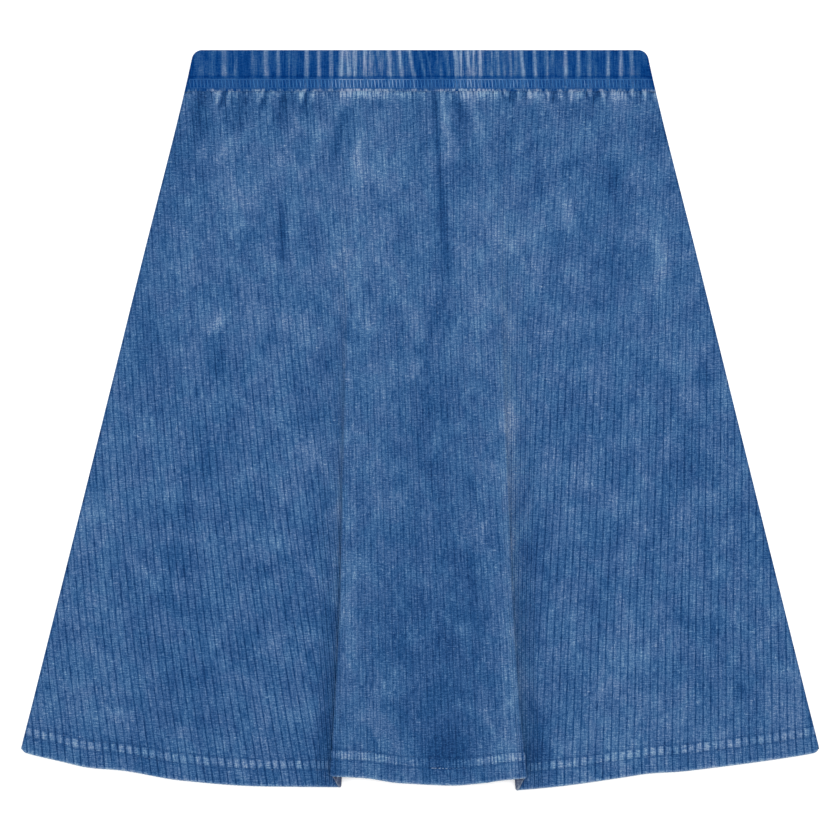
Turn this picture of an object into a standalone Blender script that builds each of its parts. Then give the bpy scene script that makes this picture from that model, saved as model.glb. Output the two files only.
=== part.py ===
"""A ribbed-knit A-line skirt with a gathered elastic waistband, laid flat on its back.

Metres, +Z up. The skirt lies on z = 0 with its waist towards +Y and its hem towards -Y.
"Down" is a distance from the waist's top edge towards the hem. A "level" is 0 at the waist seam and 1 at the
hem. "Ribs" counts knitted ribs across the front from its middle one, so it follows the cloth round a fold.
"""

import math
from collections import namedtuple

import bmesh
import bpy
import numpy as np

# Driving sizes of the garment
LENGTH = 0.4585
WAIST_WIDTH = 0.2830
HEM_WIDTH = 0.4940
HEM_CORNER_DOWN = 0.4335
MIDDLE_HEM_DOWN = 0.4560
HEM_DEPTH = 0.0170
CLOTH = 0.0012
HEM_CLOTH = 0.0020
SEAM_GAP = 0.0003

# At a side seam the two walls thin towards each other, to this share of their thickness
EDGE_SHARE = 0.4
EDGE_DROOP = 0.0060
EDGE_MARGIN = 0.0006

# The waistband: a casing turned over a 25 mm elastic
BAND_DEPTH = 0.0257
BAND_THICKNESS = 0.0030
BAND_CORNER = 0.0055
BACK_BAND_COLUMNS = 49
PANEL_TOP_DOWN = BAND_DEPTH + SEAM_GAP

# Knitted ribs
RIB_RELIEF = 0.00045
BAND_RIB_PITCH = 0.0038
BAND_RIB_RELIEF = 0.00035
RIBS_PER_INNER_COLUMN = 2
FINE_PARTS_PER_RIB = 4

# Puckers that the elastic draws the cloth into, a few ribs wide
GATHER_HEIGHT = 0.0007
GATHER_REACH = 0.014
BAND_GATHER_HEIGHT = 0.0004

# A pressed-in crease runs down from the middle of the waist, leaning to the right
CREASE_DEPTH = 0.0007
CREASE_WIDTH = 0.0050
CREASE_START = 0.0075
CREASE_LEAN = 0.08
CREASE_END_DOWN = 0.125

# Between the two folds the front sags, to this share of their height
SAG_SHARE = 0.12
SECTION_STEPS = 240
SECTION_MARGIN = 0.010
FINE_PARTS_FROM_LEVEL = 0.3

BACK_HEM_MIDDLE = 0.4490
BACK_HEM_SIDE = 0.4325
BACK_COLUMNS = 25

CLOTH_BLUE = (0.045, 0.120, 0.285, 1.0)
BAND_BLUE = (0.030, 0.095, 0.250, 1.0)
CLOTH_ROUGHNESS = 0.9

GatherWave = namedtuple("GatherWave", "ribs share phase")
GATHER_WAVES = (
    GatherWave(2.31, 0.42, 0.4),
    GatherWave(3.17, 0.34, 2.1),
    GatherWave(6.80, 0.24, 5.0),
)

# Left and right are the folds' middles across the skirt. Each fold is an S: the cloth turns by so many
# degrees on a radius, runs straight, and turns back again.
FoldLevel = namedtuple("FoldLevel", "level left right degrees radius straight")
FOLDS = (
    FoldLevel(0.00, -0.0440, 0.0490, 2, 0.0080, 0.0040),
    FoldLevel(0.15, -0.0455, 0.0500, 14, 0.0070, 0.0040),
    FoldLevel(0.35, -0.0465, 0.0515, 45, 0.0030, 0.0030),
    FoldLevel(0.55, -0.0476, 0.0536, 85, 0.0020, 0.0025),
    FoldLevel(0.75, -0.0480, 0.0557, 130, 0.0018, 0.0022),
    FoldLevel(0.90, -0.0502, 0.0590, 160, 0.0016, 0.0022),
    FoldLevel(1.00, -0.0523, 0.0626, 178, 0.0015, 0.0022),
)

# How the front lies over the back: its wall's middle stands at height, and at edge along the side seams.
# Drift is where the middle rib lies, and pitch is the ribs' spacing, which grows as the elastic lets go.
LayLevel = namedtuple("LayLevel", "level height edge drift pitch")
LAY = (
    LayLevel(0.00, 0.0042, 0.0021, -0.0130, BAND_RIB_PITCH),
    LayLevel(0.06, 0.0028, 0.0021, -0.0120, 0.00395),
    LayLevel(0.15, 0.0023, 0.0021, -0.0105, 0.00410),
    LayLevel(0.50, 0.0021, 0.0021, -0.0050, 0.00430),
    LayLevel(0.93, 0.0021, 0.0021, 0.0010, 0.00448),
    LayLevel(0.97, 0.0033, 0.0033, 0.0015, 0.00450),
    LayLevel(1.00, 0.0033, 0.0033, 0.0020, 0.00450),
)

# How far down the hem's edge lies, by place across the skirt
HemPoint = namedtuple("HemPoint", "across down")
LEFT_HEM = (
    HemPoint(-0.2470, 0.4335),
    HemPoint(-0.2230, 0.4405),
    HemPoint(-0.1860, 0.4461),
    HemPoint(-0.1490, 0.4523),
    HemPoint(-0.0990, 0.4560),
    HemPoint(-0.0430, 0.4566),
)
CENTRE_HEM = (
    HemPoint(-0.0580, 0.4505),
    HemPoint(-0.0465, 0.4511),
    HemPoint(-0.0125, 0.4542),
    HemPoint(0.0186, 0.4555),
    HemPoint(0.0496, 0.4523),
    HemPoint(0.0680, 0.4505),
)
RIGHT_HEM = (
    HemPoint(0.0530, 0.4588),
    HemPoint(0.0589, 0.4585),
    HemPoint(0.0868, 0.4560),
    HemPoint(0.1240, 0.4515),
    HemPoint(0.1736, 0.4453),
    HemPoint(0.2108, 0.4405),
    HemPoint(0.2470, 0.4340),
)

# Rows of points from the waist seam down. Body is a share of the way to the hem's stitching, and hem is a
# share of the turned-up hem, whose cloth is double from the first hem row down.
PanelRow = namedtuple("PanelRow", "body hem")
HEM_STEP = 0.2
FRONT_BODY_SHARES = (0.0, 0.02, 0.055, 0.11, 0.2, 0.32, 0.45, 0.57, 0.67, 0.75, 0.82, 0.88, 0.94, 1.0)
FRONT_HEM_SHARES = (HEM_STEP, 0.6, 1.0)
FRONT_ROWS = [PanelRow(share, 0.0) for share in FRONT_BODY_SHARES]
FRONT_ROWS += [PanelRow(1.0, share) for share in FRONT_HEM_SHARES]
BACK_ROWS = (
    PanelRow(0.0, 0.0),
    PanelRow(0.5, 0.0),
    PanelRow(1.0, 0.0),
    PanelRow(1.0, HEM_STEP),
    PanelRow(1.0, 1.0),
)

# Lines along the casing, from its top edge over the outer face and back inside. Height is a share of the
# band's thickness, and fullness is how far its ribs and gathers stand out there.
BandLine = namedtuple("BandLine", "down height fullness")
BAND_OUTSIDE = (
    BandLine(0.0000, 0.66, 0.3),
    BandLine(0.0004, 0.84, 0.6),
    BandLine(0.0016, 1.00, 1.0),
    BandLine(0.0080, 1.06, 1.0),
    BandLine(0.0146, 1.00, 1.0),
    BandLine(0.0166, 0.86, 0.7),
    BandLine(0.0208, 0.94, 1.0),
    BandLine(0.0244, 0.78, 0.7),
    BandLine(BAND_DEPTH, 0.73, 0.5),
)
BAND_INSIDE = (
    BandLine(BAND_DEPTH, 0.00, 0.0),
    BandLine(0.0016, 0.00, 0.0),
    BandLine(0.0004, 0.12, 0.0),
    BandLine(0.0000, 0.30, 0.0),
)


def level_slopes(places, values):
    """Slopes at a curve's points that never let it swing past them: flat wherever the curve turns back."""
    steep = np.diff(values) / np.diff(places)
    before, after = steep[:-1], steep[1:]
    same_way = before * after > 0
    between = np.zeros(len(before))
    between[same_way] = 2 / (1 / before[same_way] + 1 / after[same_way])
    return np.concatenate([steep[:1], between, steep[-1:]])


def read_column(table, name, at):
    """One column of a table on a smooth curve through its rows, read at places along its first column."""
    places = np.array([row[0] for row in table])
    values = np.array([getattr(row, name) for row in table])
    slopes = level_slopes(places, values)
    at = np.clip(at, places[0], places[-1])
    index = np.clip(np.searchsorted(places, at, side="right") - 1, 0, len(places) - 2)
    span = places[index + 1] - places[index]
    share = (at - places[index]) / span
    rest = 1 - share
    ends = values[index] * rest**2 * (1 + 2 * share) + values[index + 1] * share**2 * (1 + 2 * rest)
    return ends + span * share * rest * (slopes[index] * rest - slopes[index + 1] * share)


def ease(share):
    """A smooth step from 0 to 1."""
    share = np.clip(share, 0, 1)
    return share * share * (3 - 2 * share)


def run_sum(steps):
    """How far along each point of a line lies, from the steps between its points."""
    return np.concatenate([[0], np.cumsum(steps)])


def half_width(down):
    """Half the skirt's width at a distance down: its side seams are straight."""
    return WAIST_WIDTH / 2 + (HEM_WIDTH - WAIST_WIDTH) / 2 * down / HEM_CORNER_DOWN


def rib_height(ribs):
    """0 in the groove between two ribs and 1 on a rib's crest."""
    return 0.5 - 0.5 * np.cos(2 * math.pi * ribs)


def gather_height(ribs):
    """Uneven puckers, from -1 to 1, by place along the waist seam."""
    waves = [wave.share * np.sin(2 * math.pi * ribs / wave.ribs + wave.phase) for wave in GATHER_WAVES]
    return np.sum(waves, axis=0)


def row_level(row):
    """A row's level, from 0 at the waist seam to 1 at the hem."""
    hem_level = 1 - HEM_DEPTH / (MIDDLE_HEM_DOWN - PANEL_TOP_DOWN)
    return row.body * hem_level + row.hem * (1 - hem_level)


def row_down(row, hem):
    """How far down a row lies where the hem's edge is so far down."""
    return PANEL_TOP_DOWN + row.body * (hem - HEM_DEPTH - PANEL_TOP_DOWN) + row.hem * HEM_DEPTH


def row_cloth(row):
    """The wall's thickness in a row: the hem is turned up once, so its cloth is double."""
    return CLOTH + (HEM_CLOTH - CLOTH) * min(1.0, row.hem / HEM_STEP)


def hem_down(across, panel):
    """How far down the hem's edge lies: panel is 0 on the left side, 1 in the middle and 2 on the right."""
    left = read_column(LEFT_HEM, "down", across) * np.clip(1 - panel, 0, 1)
    middle = read_column(CENTRE_HEM, "down", across) * (1 - np.abs(1 - panel))
    right = read_column(RIGHT_HEM, "down", across) * np.clip(panel - 1, 0, 1)
    return left + middle + right


def fold_curve(fold, from_middle):
    """A fold's S curve, from the side up to the middle: places, heights, and shares of the curve's length."""
    turn = math.radians(fold["degrees"])
    arc = turn * fold["radius"]
    along = np.linspace(0, 2 * arc + fold["straight"], SECTION_STEPS)
    heading = turn * np.clip(np.minimum(along, along[-1] - along) / arc, 0, 1)
    step = along[1] - along[0]
    inwards = run_sum((np.cos(heading[1:]) + np.cos(heading[:-1])) / 2 * step)
    up = run_sum((np.sin(heading[1:]) + np.sin(heading[:-1])) / 2 * step)
    return inwards - inwards[-1] / 2 - from_middle, up, along / along[-1]


def front_section(row):
    """The middle of the front's wall along a row: a dense line of points from side to side."""
    level = row_level(row)
    fold = {name: float(read_column(FOLDS, name, level)) for name in FoldLevel._fields[1:]}
    left_x, left_up, left_share = fold_curve(fold, -fold["left"])
    right_x, right_up, right_share = fold_curve(fold, fold["right"])
    right_x, right_up, right_share = -right_x[::-1], right_up[::-1], right_share[::-1]

    beyond = HEM_WIDTH / 2 + SECTION_MARGIN
    left_side = np.linspace(-beyond, left_x[0], SECTION_STEPS)[:-1]
    right_side = np.linspace(right_x[-1], beyond, SECTION_STEPS)[1:]
    across = np.linspace(-1, 1, SECTION_STEPS)[1:-1]
    middle_x = (left_x[-1] + right_x[0]) / 2 + across * (right_x[0] - left_x[-1]) / 2
    middle_up = left_up[-1] * (SAG_SHARE + (1 - SAG_SHARE) * np.sin(math.pi * across / 2) ** 2)

    x = np.concatenate([left_side, left_x, middle_x, right_x, right_side])
    up = np.concatenate([0 * left_side, left_up, middle_up, right_up, 0 * right_side])
    left_panel = ease(2 * left_share - 0.5)
    right_panel = 2 - ease(2 * right_share - 0.5)
    panel = np.concatenate([0 * left_side, left_panel, 0 * across + 1, right_panel, 0 * right_side + 2])
    in_fold = np.concatenate([0 * left_side, 0 * left_x - 1, 0 * across, 0 * right_x + 1, 0 * right_side])

    down = row_down(row, hem_down(x, panel))
    inside = half_width(down) - np.abs(x)
    edge = float(read_column(LAY, "edge", level))
    height = float(read_column(LAY, "height", level))
    z = up + edge + (height - edge) * ease(inside / EDGE_DROOP)

    length = run_sum(np.hypot(np.diff(x), np.diff(z)))
    between_folds = slice(len(left_side) + len(left_x), len(x) - len(right_side) - len(right_x))
    drift = float(read_column(LAY, "drift", level))
    middle = np.interp(drift, x[between_folds], length[between_folds])
    slope_x = np.gradient(x, length)
    slope_z = np.gradient(z, length)
    size = np.hypot(slope_x, slope_z)
    return {
        "x": x,
        "z": z,
        "down": down,
        "inside": inside,
        "in_fold": in_fold,
        "ribs": (length - middle) / float(read_column(LAY, "pitch", level)),
        "out_x": -slope_z / size,
        "out_z": slope_x / size,
    }


def relief(ribs, down, upright):
    """How far the outer face stands proud: ribs where the cloth faces up, and gathers below the waist."""
    gathers = GATHER_HEIGHT * gather_height(ribs) * np.exp(-(down - PANEL_TOP_DOWN) / GATHER_REACH)
    return RIB_RELIEF * rib_height(ribs) * ease(2 * upright - 1) + gathers


def crease(across, down):
    """How far the whole wall dips in the crease below the middle of the waist."""
    from_seam = down - PANEL_TOP_DOWN
    fade = 1 - ease(from_seam / (CREASE_END_DOWN - PANEL_TOP_DOWN))
    off_middle = across - CREASE_START - CREASE_LEAN * from_seam
    return CREASE_DEPTH * fade * np.exp(-((off_middle / CREASE_WIDTH) ** 2))


def place(across, down, height):
    """A point of the garment in the scene's own axes."""
    return (float(across), float(LENGTH / 2 - down), float(height))


def lay_row(row, columns, outer):
    """One row of points on the front's outer or inner face, and each column's place in that row.

    Columns that lie beyond a side seam share the seam's point.
    """
    section = front_section(row)
    half = row_cloth(row) / 2
    value = {name: np.interp(columns, section["ribs"], section[name]) for name in section}
    off_middle = -half - crease(value["x"], value["down"])
    if outer:
        off_middle += 2 * half + relief(columns, value["down"], value["out_z"])
    x = value["x"] + off_middle * value["out_x"]
    z = value["z"] + off_middle * value["out_z"]

    seam_points = []
    for seam in np.flatnonzero(section["inside"] > 0)[[0, -1]]:
        seam_down = section["down"][seam]
        seam_x = math.copysign(half_width(seam_down), section["x"][seam])
        rise = 2 * half * EDGE_SHARE if outer else 0.0
        seam_points.append(place(seam_x, seam_down, section["z"][seam] - half + rise))
    kept = np.flatnonzero(value["inside"] > EDGE_MARGIN)
    points = [place(x[i], value["down"][i], z[i]) for i in kept]
    places = np.clip(np.arange(len(columns)) - kept[0] + 1, 0, len(kept) + 1)
    return seam_points[:1] + points + seam_points[1:], places


def rib_columns(low, high, fine_zones, plain):
    """Columns in every groove and on every crest, or wider apart on the plain side. Folds get finer ones."""
    columns = []
    for rib in range(low, high):
        if any(start <= rib <= end for start, end in fine_zones):
            columns += [rib + part / FINE_PARTS_PER_RIB for part in range(FINE_PARTS_PER_RIB)]
        elif not plain:
            columns += [rib, rib + 0.5]
        elif rib % RIBS_PER_INNER_COLUMN == 0:
            columns.append(rib)
    return np.array(columns + [high], float)


def fold_zones():
    """The ribs that each fold turns over, from where it starts to tip down to the hem."""
    sections = [front_section(row) for row in FRONT_ROWS if row_level(row) > FINE_PARTS_FROM_LEVEL]
    zones = []
    for side in (-1, 1):
        turned = np.concatenate([section["ribs"][section["in_fold"] == side] for section in sections])
        zones.append((math.floor(turned.min()), math.ceil(turned.max()) - 1))
    return zones


def rib_range():
    """Rib numbers on both sides, just beyond the side seams at the hem, that fit the inner columns' step."""
    section = front_section(FRONT_ROWS[-1])
    reached = section["ribs"][section["inside"] > 0] / RIBS_PER_INNER_COLUMN
    return RIBS_PER_INNER_COLUMN * math.floor(reached[0]), RIBS_PER_INNER_COLUMN * math.ceil(reached[-1])


def front_face(columns, outer, offset):
    """The points of the front's outer or inner face, and the point numbers of each row's columns."""
    points, places = [], []
    for row in FRONT_ROWS:
        row_points, row_places = lay_row(row, columns, outer)
        places.append(row_places + offset + len(points))
        points += row_points
    return points, places


def add_face(faces, corners):
    """Adds a face without its doubled corners, or none where fewer than three are left."""
    ring = [int(corner) for i, corner in enumerate(corners) if corner != corners[i - 1]]
    if len(ring) >= 3:
        faces.append(ring)


def add_strips(faces, rows):
    """Adds the faces between rows of point numbers."""
    for upper, lower in zip(rows, rows[1:]):
        for quad in zip(upper[:-1], upper[1:], lower[1:], lower[:-1]):
            add_face(faces, quad)


def add_cap(faces, outer_row, outer_columns, inner_row, inner_columns):
    """Adds the faces that close the wall's top or hem, one to each step of the plain inner side."""
    at = np.searchsorted(outer_columns, inner_columns)
    for i in range(len(inner_columns) - 1):
        outer_part = list(outer_row[at[i] : at[i + 1] + 1])
        add_face(faces, outer_part + [inner_row[i + 1], inner_row[i]])


def cloth_material(name, colour):
    """Knitted cotton: one colour and no shine."""
    material = bpy.data.materials.new(name)
    material.use_nodes = True
    shader = material.node_tree.nodes["Principled BSDF"]
    shader.inputs["Base Color"].default_value = colour
    shader.inputs["Roughness"].default_value = CLOTH_ROUGHNESS
    shader.inputs["Metallic"].default_value = 0.0
    return material


def make_solid(name, points, faces, material):
    """A closed mesh object of triangles with its faces turned outwards."""
    mesh = bpy.data.meshes.new(name)
    mesh.from_pydata(points, [], faces)
    work = bmesh.new()
    work.from_mesh(mesh)
    bmesh.ops.recalc_face_normals(work, faces=work.faces)
    bmesh.ops.triangulate(work, faces=work.faces)
    work.to_mesh(mesh)
    work.free()
    mesh.materials.append(material)
    solid = bpy.data.objects.new(name, mesh)
    bpy.context.scene.collection.objects.link(solid)


def make_front_panel():
    """The front: ribbed outside, plain inside, with two rolled folds and a turned-up hem."""
    low, high = rib_range()
    zones = fold_zones()
    outer_columns = rib_columns(low, high, zones, plain=False)
    inner_columns = rib_columns(low, high, zones, plain=True)
    outer, outer_rows = front_face(outer_columns, True, 0)
    inner, inner_rows = front_face(inner_columns, False, len(outer))
    faces = []
    add_strips(faces, outer_rows)
    add_strips(faces, inner_rows)
    for end in (0, -1):
        add_cap(faces, outer_rows[end], outer_columns, inner_rows[end], inner_columns)
        add_strips(faces, [(above[end], below[end]) for above, below in zip(outer_rows, inner_rows)])
    make_solid("front_panel", outer + inner, faces, cloth_material("front_knit", CLOTH_BLUE))


def seam_to_seam(count):
    """Places across from seam to seam, -1 to 1, closer together at the seams."""
    return np.sin(np.linspace(-math.pi / 2, math.pi / 2, count))


def make_slab(name, lines, across, material):
    """A flat-bottomed wall on the floor, from lines that say how far down and how thick it is there."""
    top, bottom = [], []
    for down, thickness in lines:
        for i, share in enumerate(across):
            at_seam = i in (0, len(across) - 1)
            underside = thickness * (1 - EDGE_SHARE) if at_seam else 0.0
            top.append(place(share * half_width(down[i]), down[i], thickness))
            bottom.append(place(share * half_width(down[i]), down[i], underside))
    grid = np.arange(len(top)).reshape(len(lines), len(across))
    rim = list(grid[0]) + list(grid[1:, -1]) + list(grid[-1, -2::-1]) + list(grid[-2::-1, 0])
    faces = []
    add_strips(faces, grid)
    add_strips(faces, grid + len(top))
    add_strips(faces, [rim, [corner + len(top) for corner in rim]])
    make_solid(name, top + bottom, faces, material)


def make_back_panel():
    """The back lies flat on the floor under the front, with its hem turned up on its inner side."""
    across = seam_to_seam(BACK_COLUMNS)
    hem = BACK_HEM_SIDE + (BACK_HEM_MIDDLE - BACK_HEM_SIDE) * (1 - across**2)
    lines = [(row_down(row, hem), row_cloth(row)) for row in BACK_ROWS]
    make_slab("back_panel", lines, across, cloth_material("back_knit", CLOTH_BLUE))


def band_down(line, share):
    """How far down a line of the casing lies at a place across, -1 to 1: its two top corners are round."""
    short = BAND_CORNER - min(BAND_CORNER, (1 - abs(share)) * WAIST_WIDTH / 2)
    top = BAND_CORNER - math.sqrt(BAND_CORNER**2 - short**2)
    return top + line.down * (BAND_DEPTH - top) / BAND_DEPTH


def make_waistband_front():
    """The front of the casing: its ribs and gathers stand proud, and its inner side is plain."""
    last = math.floor(WAIST_WIDTH / 2 / BAND_RIB_PITCH)
    ribs = np.arange(-2 * last, 2 * last + 1) / 2
    shares = np.concatenate([[-1.0], ribs * BAND_RIB_PITCH / (WAIST_WIDTH / 2), [1.0]])
    proud = BAND_RIB_RELIEF * rib_height(ribs) + BAND_GATHER_HEIGHT * gather_height(ribs)
    proud = np.concatenate([[0.0], proud, [0.0]])
    points = []
    for line in BAND_OUTSIDE + BAND_INSIDE:
        for i, share in enumerate(shares):
            at_seam = i in (0, len(shares) - 1)
            height = min(line.height, EDGE_SHARE) if at_seam else line.height
            z = BAND_THICKNESS + SEAM_GAP + BAND_THICKNESS * height + proud[i] * line.fullness
            down = band_down(line, share)
            points.append(place(share * half_width(down), down, z))
    grid = np.arange(len(points)).reshape(-1, len(shares))
    faces = []
    add_strips(faces, np.vstack([grid, grid[:1]]))
    add_face(faces, grid[:, 0])
    add_face(faces, grid[:, -1])
    make_solid("waistband_front", points, faces, cloth_material("front_band_knit", BAND_BLUE))


def make_waistband_back():
    """The back of the casing lies flat on the floor."""
    across = seam_to_seam(BACK_BAND_COLUMNS)
    lines = []
    for line in (BAND_OUTSIDE[0], BAND_OUTSIDE[2], BAND_OUTSIDE[-2], BAND_OUTSIDE[-1]):
        down = [band_down(line, share) for share in across]
        lines.append((down, BAND_THICKNESS * line.height))
    make_slab("waistband_back", lines, across, cloth_material("back_band_knit", BAND_BLUE))


def clear_scene():
    """Removes whatever the scene starts with."""
    for old in list(bpy.data.objects):
        bpy.data.objects.remove(old, do_unlink=True)


clear_scene()
make_back_panel()
make_front_panel()
make_waistband_back()
make_waistband_front()
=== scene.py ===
"""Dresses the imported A-line skirt: washed rib knit, gathered casing, puckers, folds, hems and stitching.

Metres, +Z up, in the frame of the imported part. The skirt lies on z = 0 with its waist towards +Y.
"Down" is a distance from the waist's top edge towards the hem, and "up" is one from the hem's edge towards
the waist. A "level" is 0 at the waist seam and 1 at the hem. "Ribs" counts knitted ribs across a panel from
its middle one, so it follows the cloth round a fold. Tables of soft folds and wash are in millimetres.
"""

import math
from collections import namedtuple

import bmesh
import bpy
import numpy as np
from mathutils import Matrix, Vector


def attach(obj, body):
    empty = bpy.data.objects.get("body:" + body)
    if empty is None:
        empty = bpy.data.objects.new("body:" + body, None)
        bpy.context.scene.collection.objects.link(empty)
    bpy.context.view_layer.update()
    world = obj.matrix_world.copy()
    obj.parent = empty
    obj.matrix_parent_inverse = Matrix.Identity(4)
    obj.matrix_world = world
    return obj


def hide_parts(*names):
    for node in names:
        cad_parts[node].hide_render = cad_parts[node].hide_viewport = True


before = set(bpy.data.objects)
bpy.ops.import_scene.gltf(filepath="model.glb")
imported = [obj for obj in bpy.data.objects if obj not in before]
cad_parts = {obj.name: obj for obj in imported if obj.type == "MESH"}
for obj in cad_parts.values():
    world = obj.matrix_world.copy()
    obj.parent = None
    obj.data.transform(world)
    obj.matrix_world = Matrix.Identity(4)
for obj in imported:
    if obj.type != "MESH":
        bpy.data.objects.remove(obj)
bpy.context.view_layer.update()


def table(columns, *rows):
    """Rows that can be read by the names of their columns."""
    kind = namedtuple("Row", columns)
    return [kind(*row) for row in rows]


MM = 0.001

# Driving sizes, as in the part's own source
LENGTH = 0.4585
WAIST_WIDTH = 0.2830
HEM_WIDTH = 0.4940
HEM_CORNER_DOWN = 0.4335
MIDDLE_HEM_DOWN = 0.4560
HEM_DEPTH = 0.0170
CLOTH = 0.0012
HEM_CLOTH = 0.0020
SEAM_GAP = 0.0003
EDGE_DROOP = 0.0060
BAND_DEPTH = 0.0257
BAND_THICKNESS = 0.0030
BAND_CORNER = 0.0055
BAND_RIB_PITCH = 0.0038
PANEL_TOP_DOWN = BAND_DEPTH + SEAM_GAP
SAG_SHARE = 0.12
SECTION_STEPS = 240
SECTION_MARGIN = 0.010
HEM_STEP = 0.2
BACK_HEM_MIDDLE = 0.4490
BACK_HEM_SIDE = 0.4325

# Left and right are the folds' middles across the skirt. Each fold is an S: the cloth turns by so many
# degrees on a radius, runs straight, and turns back again.
FOLDS = table(
    "level left right degrees radius straight",
    (0.00, -0.0440, 0.0490, 2, 0.0080, 0.0040),
    (0.15, -0.0455, 0.0500, 14, 0.0070, 0.0040),
    (0.35, -0.0465, 0.0515, 45, 0.0030, 0.0030),
    (0.55, -0.0476, 0.0536, 85, 0.0020, 0.0025),
    (0.75, -0.0480, 0.0557, 130, 0.0018, 0.0022),
    (0.90, -0.0502, 0.0590, 160, 0.0016, 0.0022),
    (1.00, -0.0523, 0.0626, 178, 0.0015, 0.0022),
)

# How the front lies over the back: its wall's middle stands at height, and at edge along the side seams.
# Drift is where the middle rib lies, and pitch is the ribs' spacing, which grows as the elastic lets go.
LAY = table(
    "level height edge drift pitch",
    (0.00, 0.0042, 0.0021, -0.0130, 0.00415),
    (0.06, 0.0028, 0.0021, -0.0120, 0.00416),
    (0.15, 0.0023, 0.0021, -0.0105, 0.00420),
    (0.50, 0.0021, 0.0021, -0.0050, 0.00442),
    (0.93, 0.0021, 0.0021, 0.0010, 0.00474),
    (0.97, 0.0033, 0.0033, 0.0015, 0.00477),
    (1.00, 0.0033, 0.0033, 0.0020, 0.00480),
)

# How far the side seams lie outside a straight line, by how far down
SIDE_CURVE = table(
    "down out",
    (0.000, -0.0009), (0.008, -0.0013), (0.025, -0.0016), (0.046, -0.0015),
    (0.077, -0.0012), (0.124, -0.0007), (0.200, -0.0004), (0.290, 0.0000),
    (0.400, 0.0006), (0.440, 0.0008),
)

# The folds take up more ribs the lower they are, so the side panels' ribs lean. These are the widths of cloth
# that each fold and the cloth round it draw in, beyond what the fold's own curve holds.
DRAWN_IN = table(
    "level left right",
    (0.00, 0.0000, 0.0000), (0.055, 0.0008, 0.0020), (0.18, 0.0031, 0.0080),
    (0.33, 0.0065, 0.0155), (0.47, 0.0098, 0.0210), (0.62, 0.0137, 0.0260),
    (0.76, 0.0185, 0.0305), (0.88, 0.0250, 0.0340), (1.00, 0.0335, 0.0380),
)
DRAWN_BESIDE_FOLD = 0.002
DRAWN_OUTSIDE_FOLD = 0.014
DRAWN_INSIDE_LEFT = 0.044
DRAWN_INSIDE_RIGHT = 0.060

# How far down the hem's edge lies, by place across the skirt
HEM_POINT = "across down"
LEFT_HEM = table(
    HEM_POINT,
    (-0.2480, 0.4342), (-0.2410, 0.4363), (-0.2230, 0.4405), (-0.2044, 0.4446),
    (-0.1860, 0.4461), (-0.1490, 0.4523), (-0.0990, 0.4560), (-0.0430, 0.4566),
)
CENTRE_HEM = table(
    HEM_POINT,
    (-0.0580, 0.4488), (-0.0465, 0.4494), (-0.0340, 0.4503), (-0.0125, 0.4538),
    (0.0186, 0.4553), (0.0400, 0.4533), (0.0496, 0.4517), (0.0680, 0.4498),
)
RIGHT_HEM = table(
    HEM_POINT,
    (0.0530, 0.4588), (0.0589, 0.4585), (0.0868, 0.4560), (0.1240, 0.4508),
    (0.1430, 0.4480), (0.1610, 0.4469), (0.1736, 0.4455), (0.2108, 0.4407),
    (0.2400, 0.4362), (0.2480, 0.4346),
)

# The casing's outer face from its top edge down. Height is a share of the band's thickness, and fullness is
# how far its ribs and gathers stand out there.
BAND_OUTSIDE = table(
    "down height fullness",
    (0.0000, 0.60, 0.25), (0.0004, 0.82, 0.55), (0.0016, 1.00, 1.0),
    (0.0080, 1.06, 1.0), (0.0142, 1.00, 1.0), (0.0163, 0.80, 0.5),
    (0.0178, 0.88, 0.45), (0.0208, 0.92, 0.45), (0.0238, 0.84, 0.4),
    (0.0249, 0.68, 0.3), (BAND_DEPTH, 0.52, 0.2),
)
BAND_OUTSIDE_DOWNS = (
    *(0.0, 0.15, 0.4, 0.8, 1.4, 2.2, 3.2, 4.4, 5.8, 7.2, 8.6, 10.0, 11.4, 12.6, 13.6, 14.4, 15.0),
    *(15.5, 16.0, 16.5, 17.0, 17.6, 18.3, 19.0, 20.0, 21.0, 22.0, 22.8, 23.4, 23.9, 24.4, 24.9, 25.3, 25.7),
)
BAND_INSIDE_DOWNS = (25.7, 24.0, 18.0, 8.0, 2.0, 0.8, 0.3)
BAND_COLUMN_STEP = 0.00055
BAND_END_SHARES = (0.0008, 0.0025)
BAND_TOP_ROUND = 0.0012
BAND_SIDE_ROUND = 0.0030

# The wall of each panel narrows and closes on the other one along the side seams, where it stands at height
SEAM_HEIGHTS = table(
    "level front back",
    (0.00, 0.0027, 0.0023), (0.03, 0.0020, 0.0016), (0.08, 0.00135, 0.00115),
    (0.93, 0.00135, 0.00115), (0.97, 0.00215, 0.00185), (1.00, 0.00215, 0.00185),
)
SEAM_WALL_SHARE = 0.15
EDGE_ROUND = 0.0024
EDGE_MARGIN = 0.0002
HEM_ROUND = 0.0011
HEM_CORNER = 0.0030
TUCK_UNDER_BAND = 0.0007

# Knitted ribs
RIB_RELIEF = 0.00036
MIDDLE_LINE_DEPTH = 0.00022
RIB_PITCH = 0.0046
RIB_COLUMNS = (0.0, 0.13, 0.33, 0.5, 0.67, 0.87)
FOLD_RIB_COLUMNS = (0.0, 0.12, 0.25, 0.38, 0.5, 0.62, 0.75, 0.88)
BEND_RELIEF = 0.5
RIBS_FADE = 0.0015
RIBS_HEM_ROUND = 0.002
COURSE = 0.00115

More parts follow.
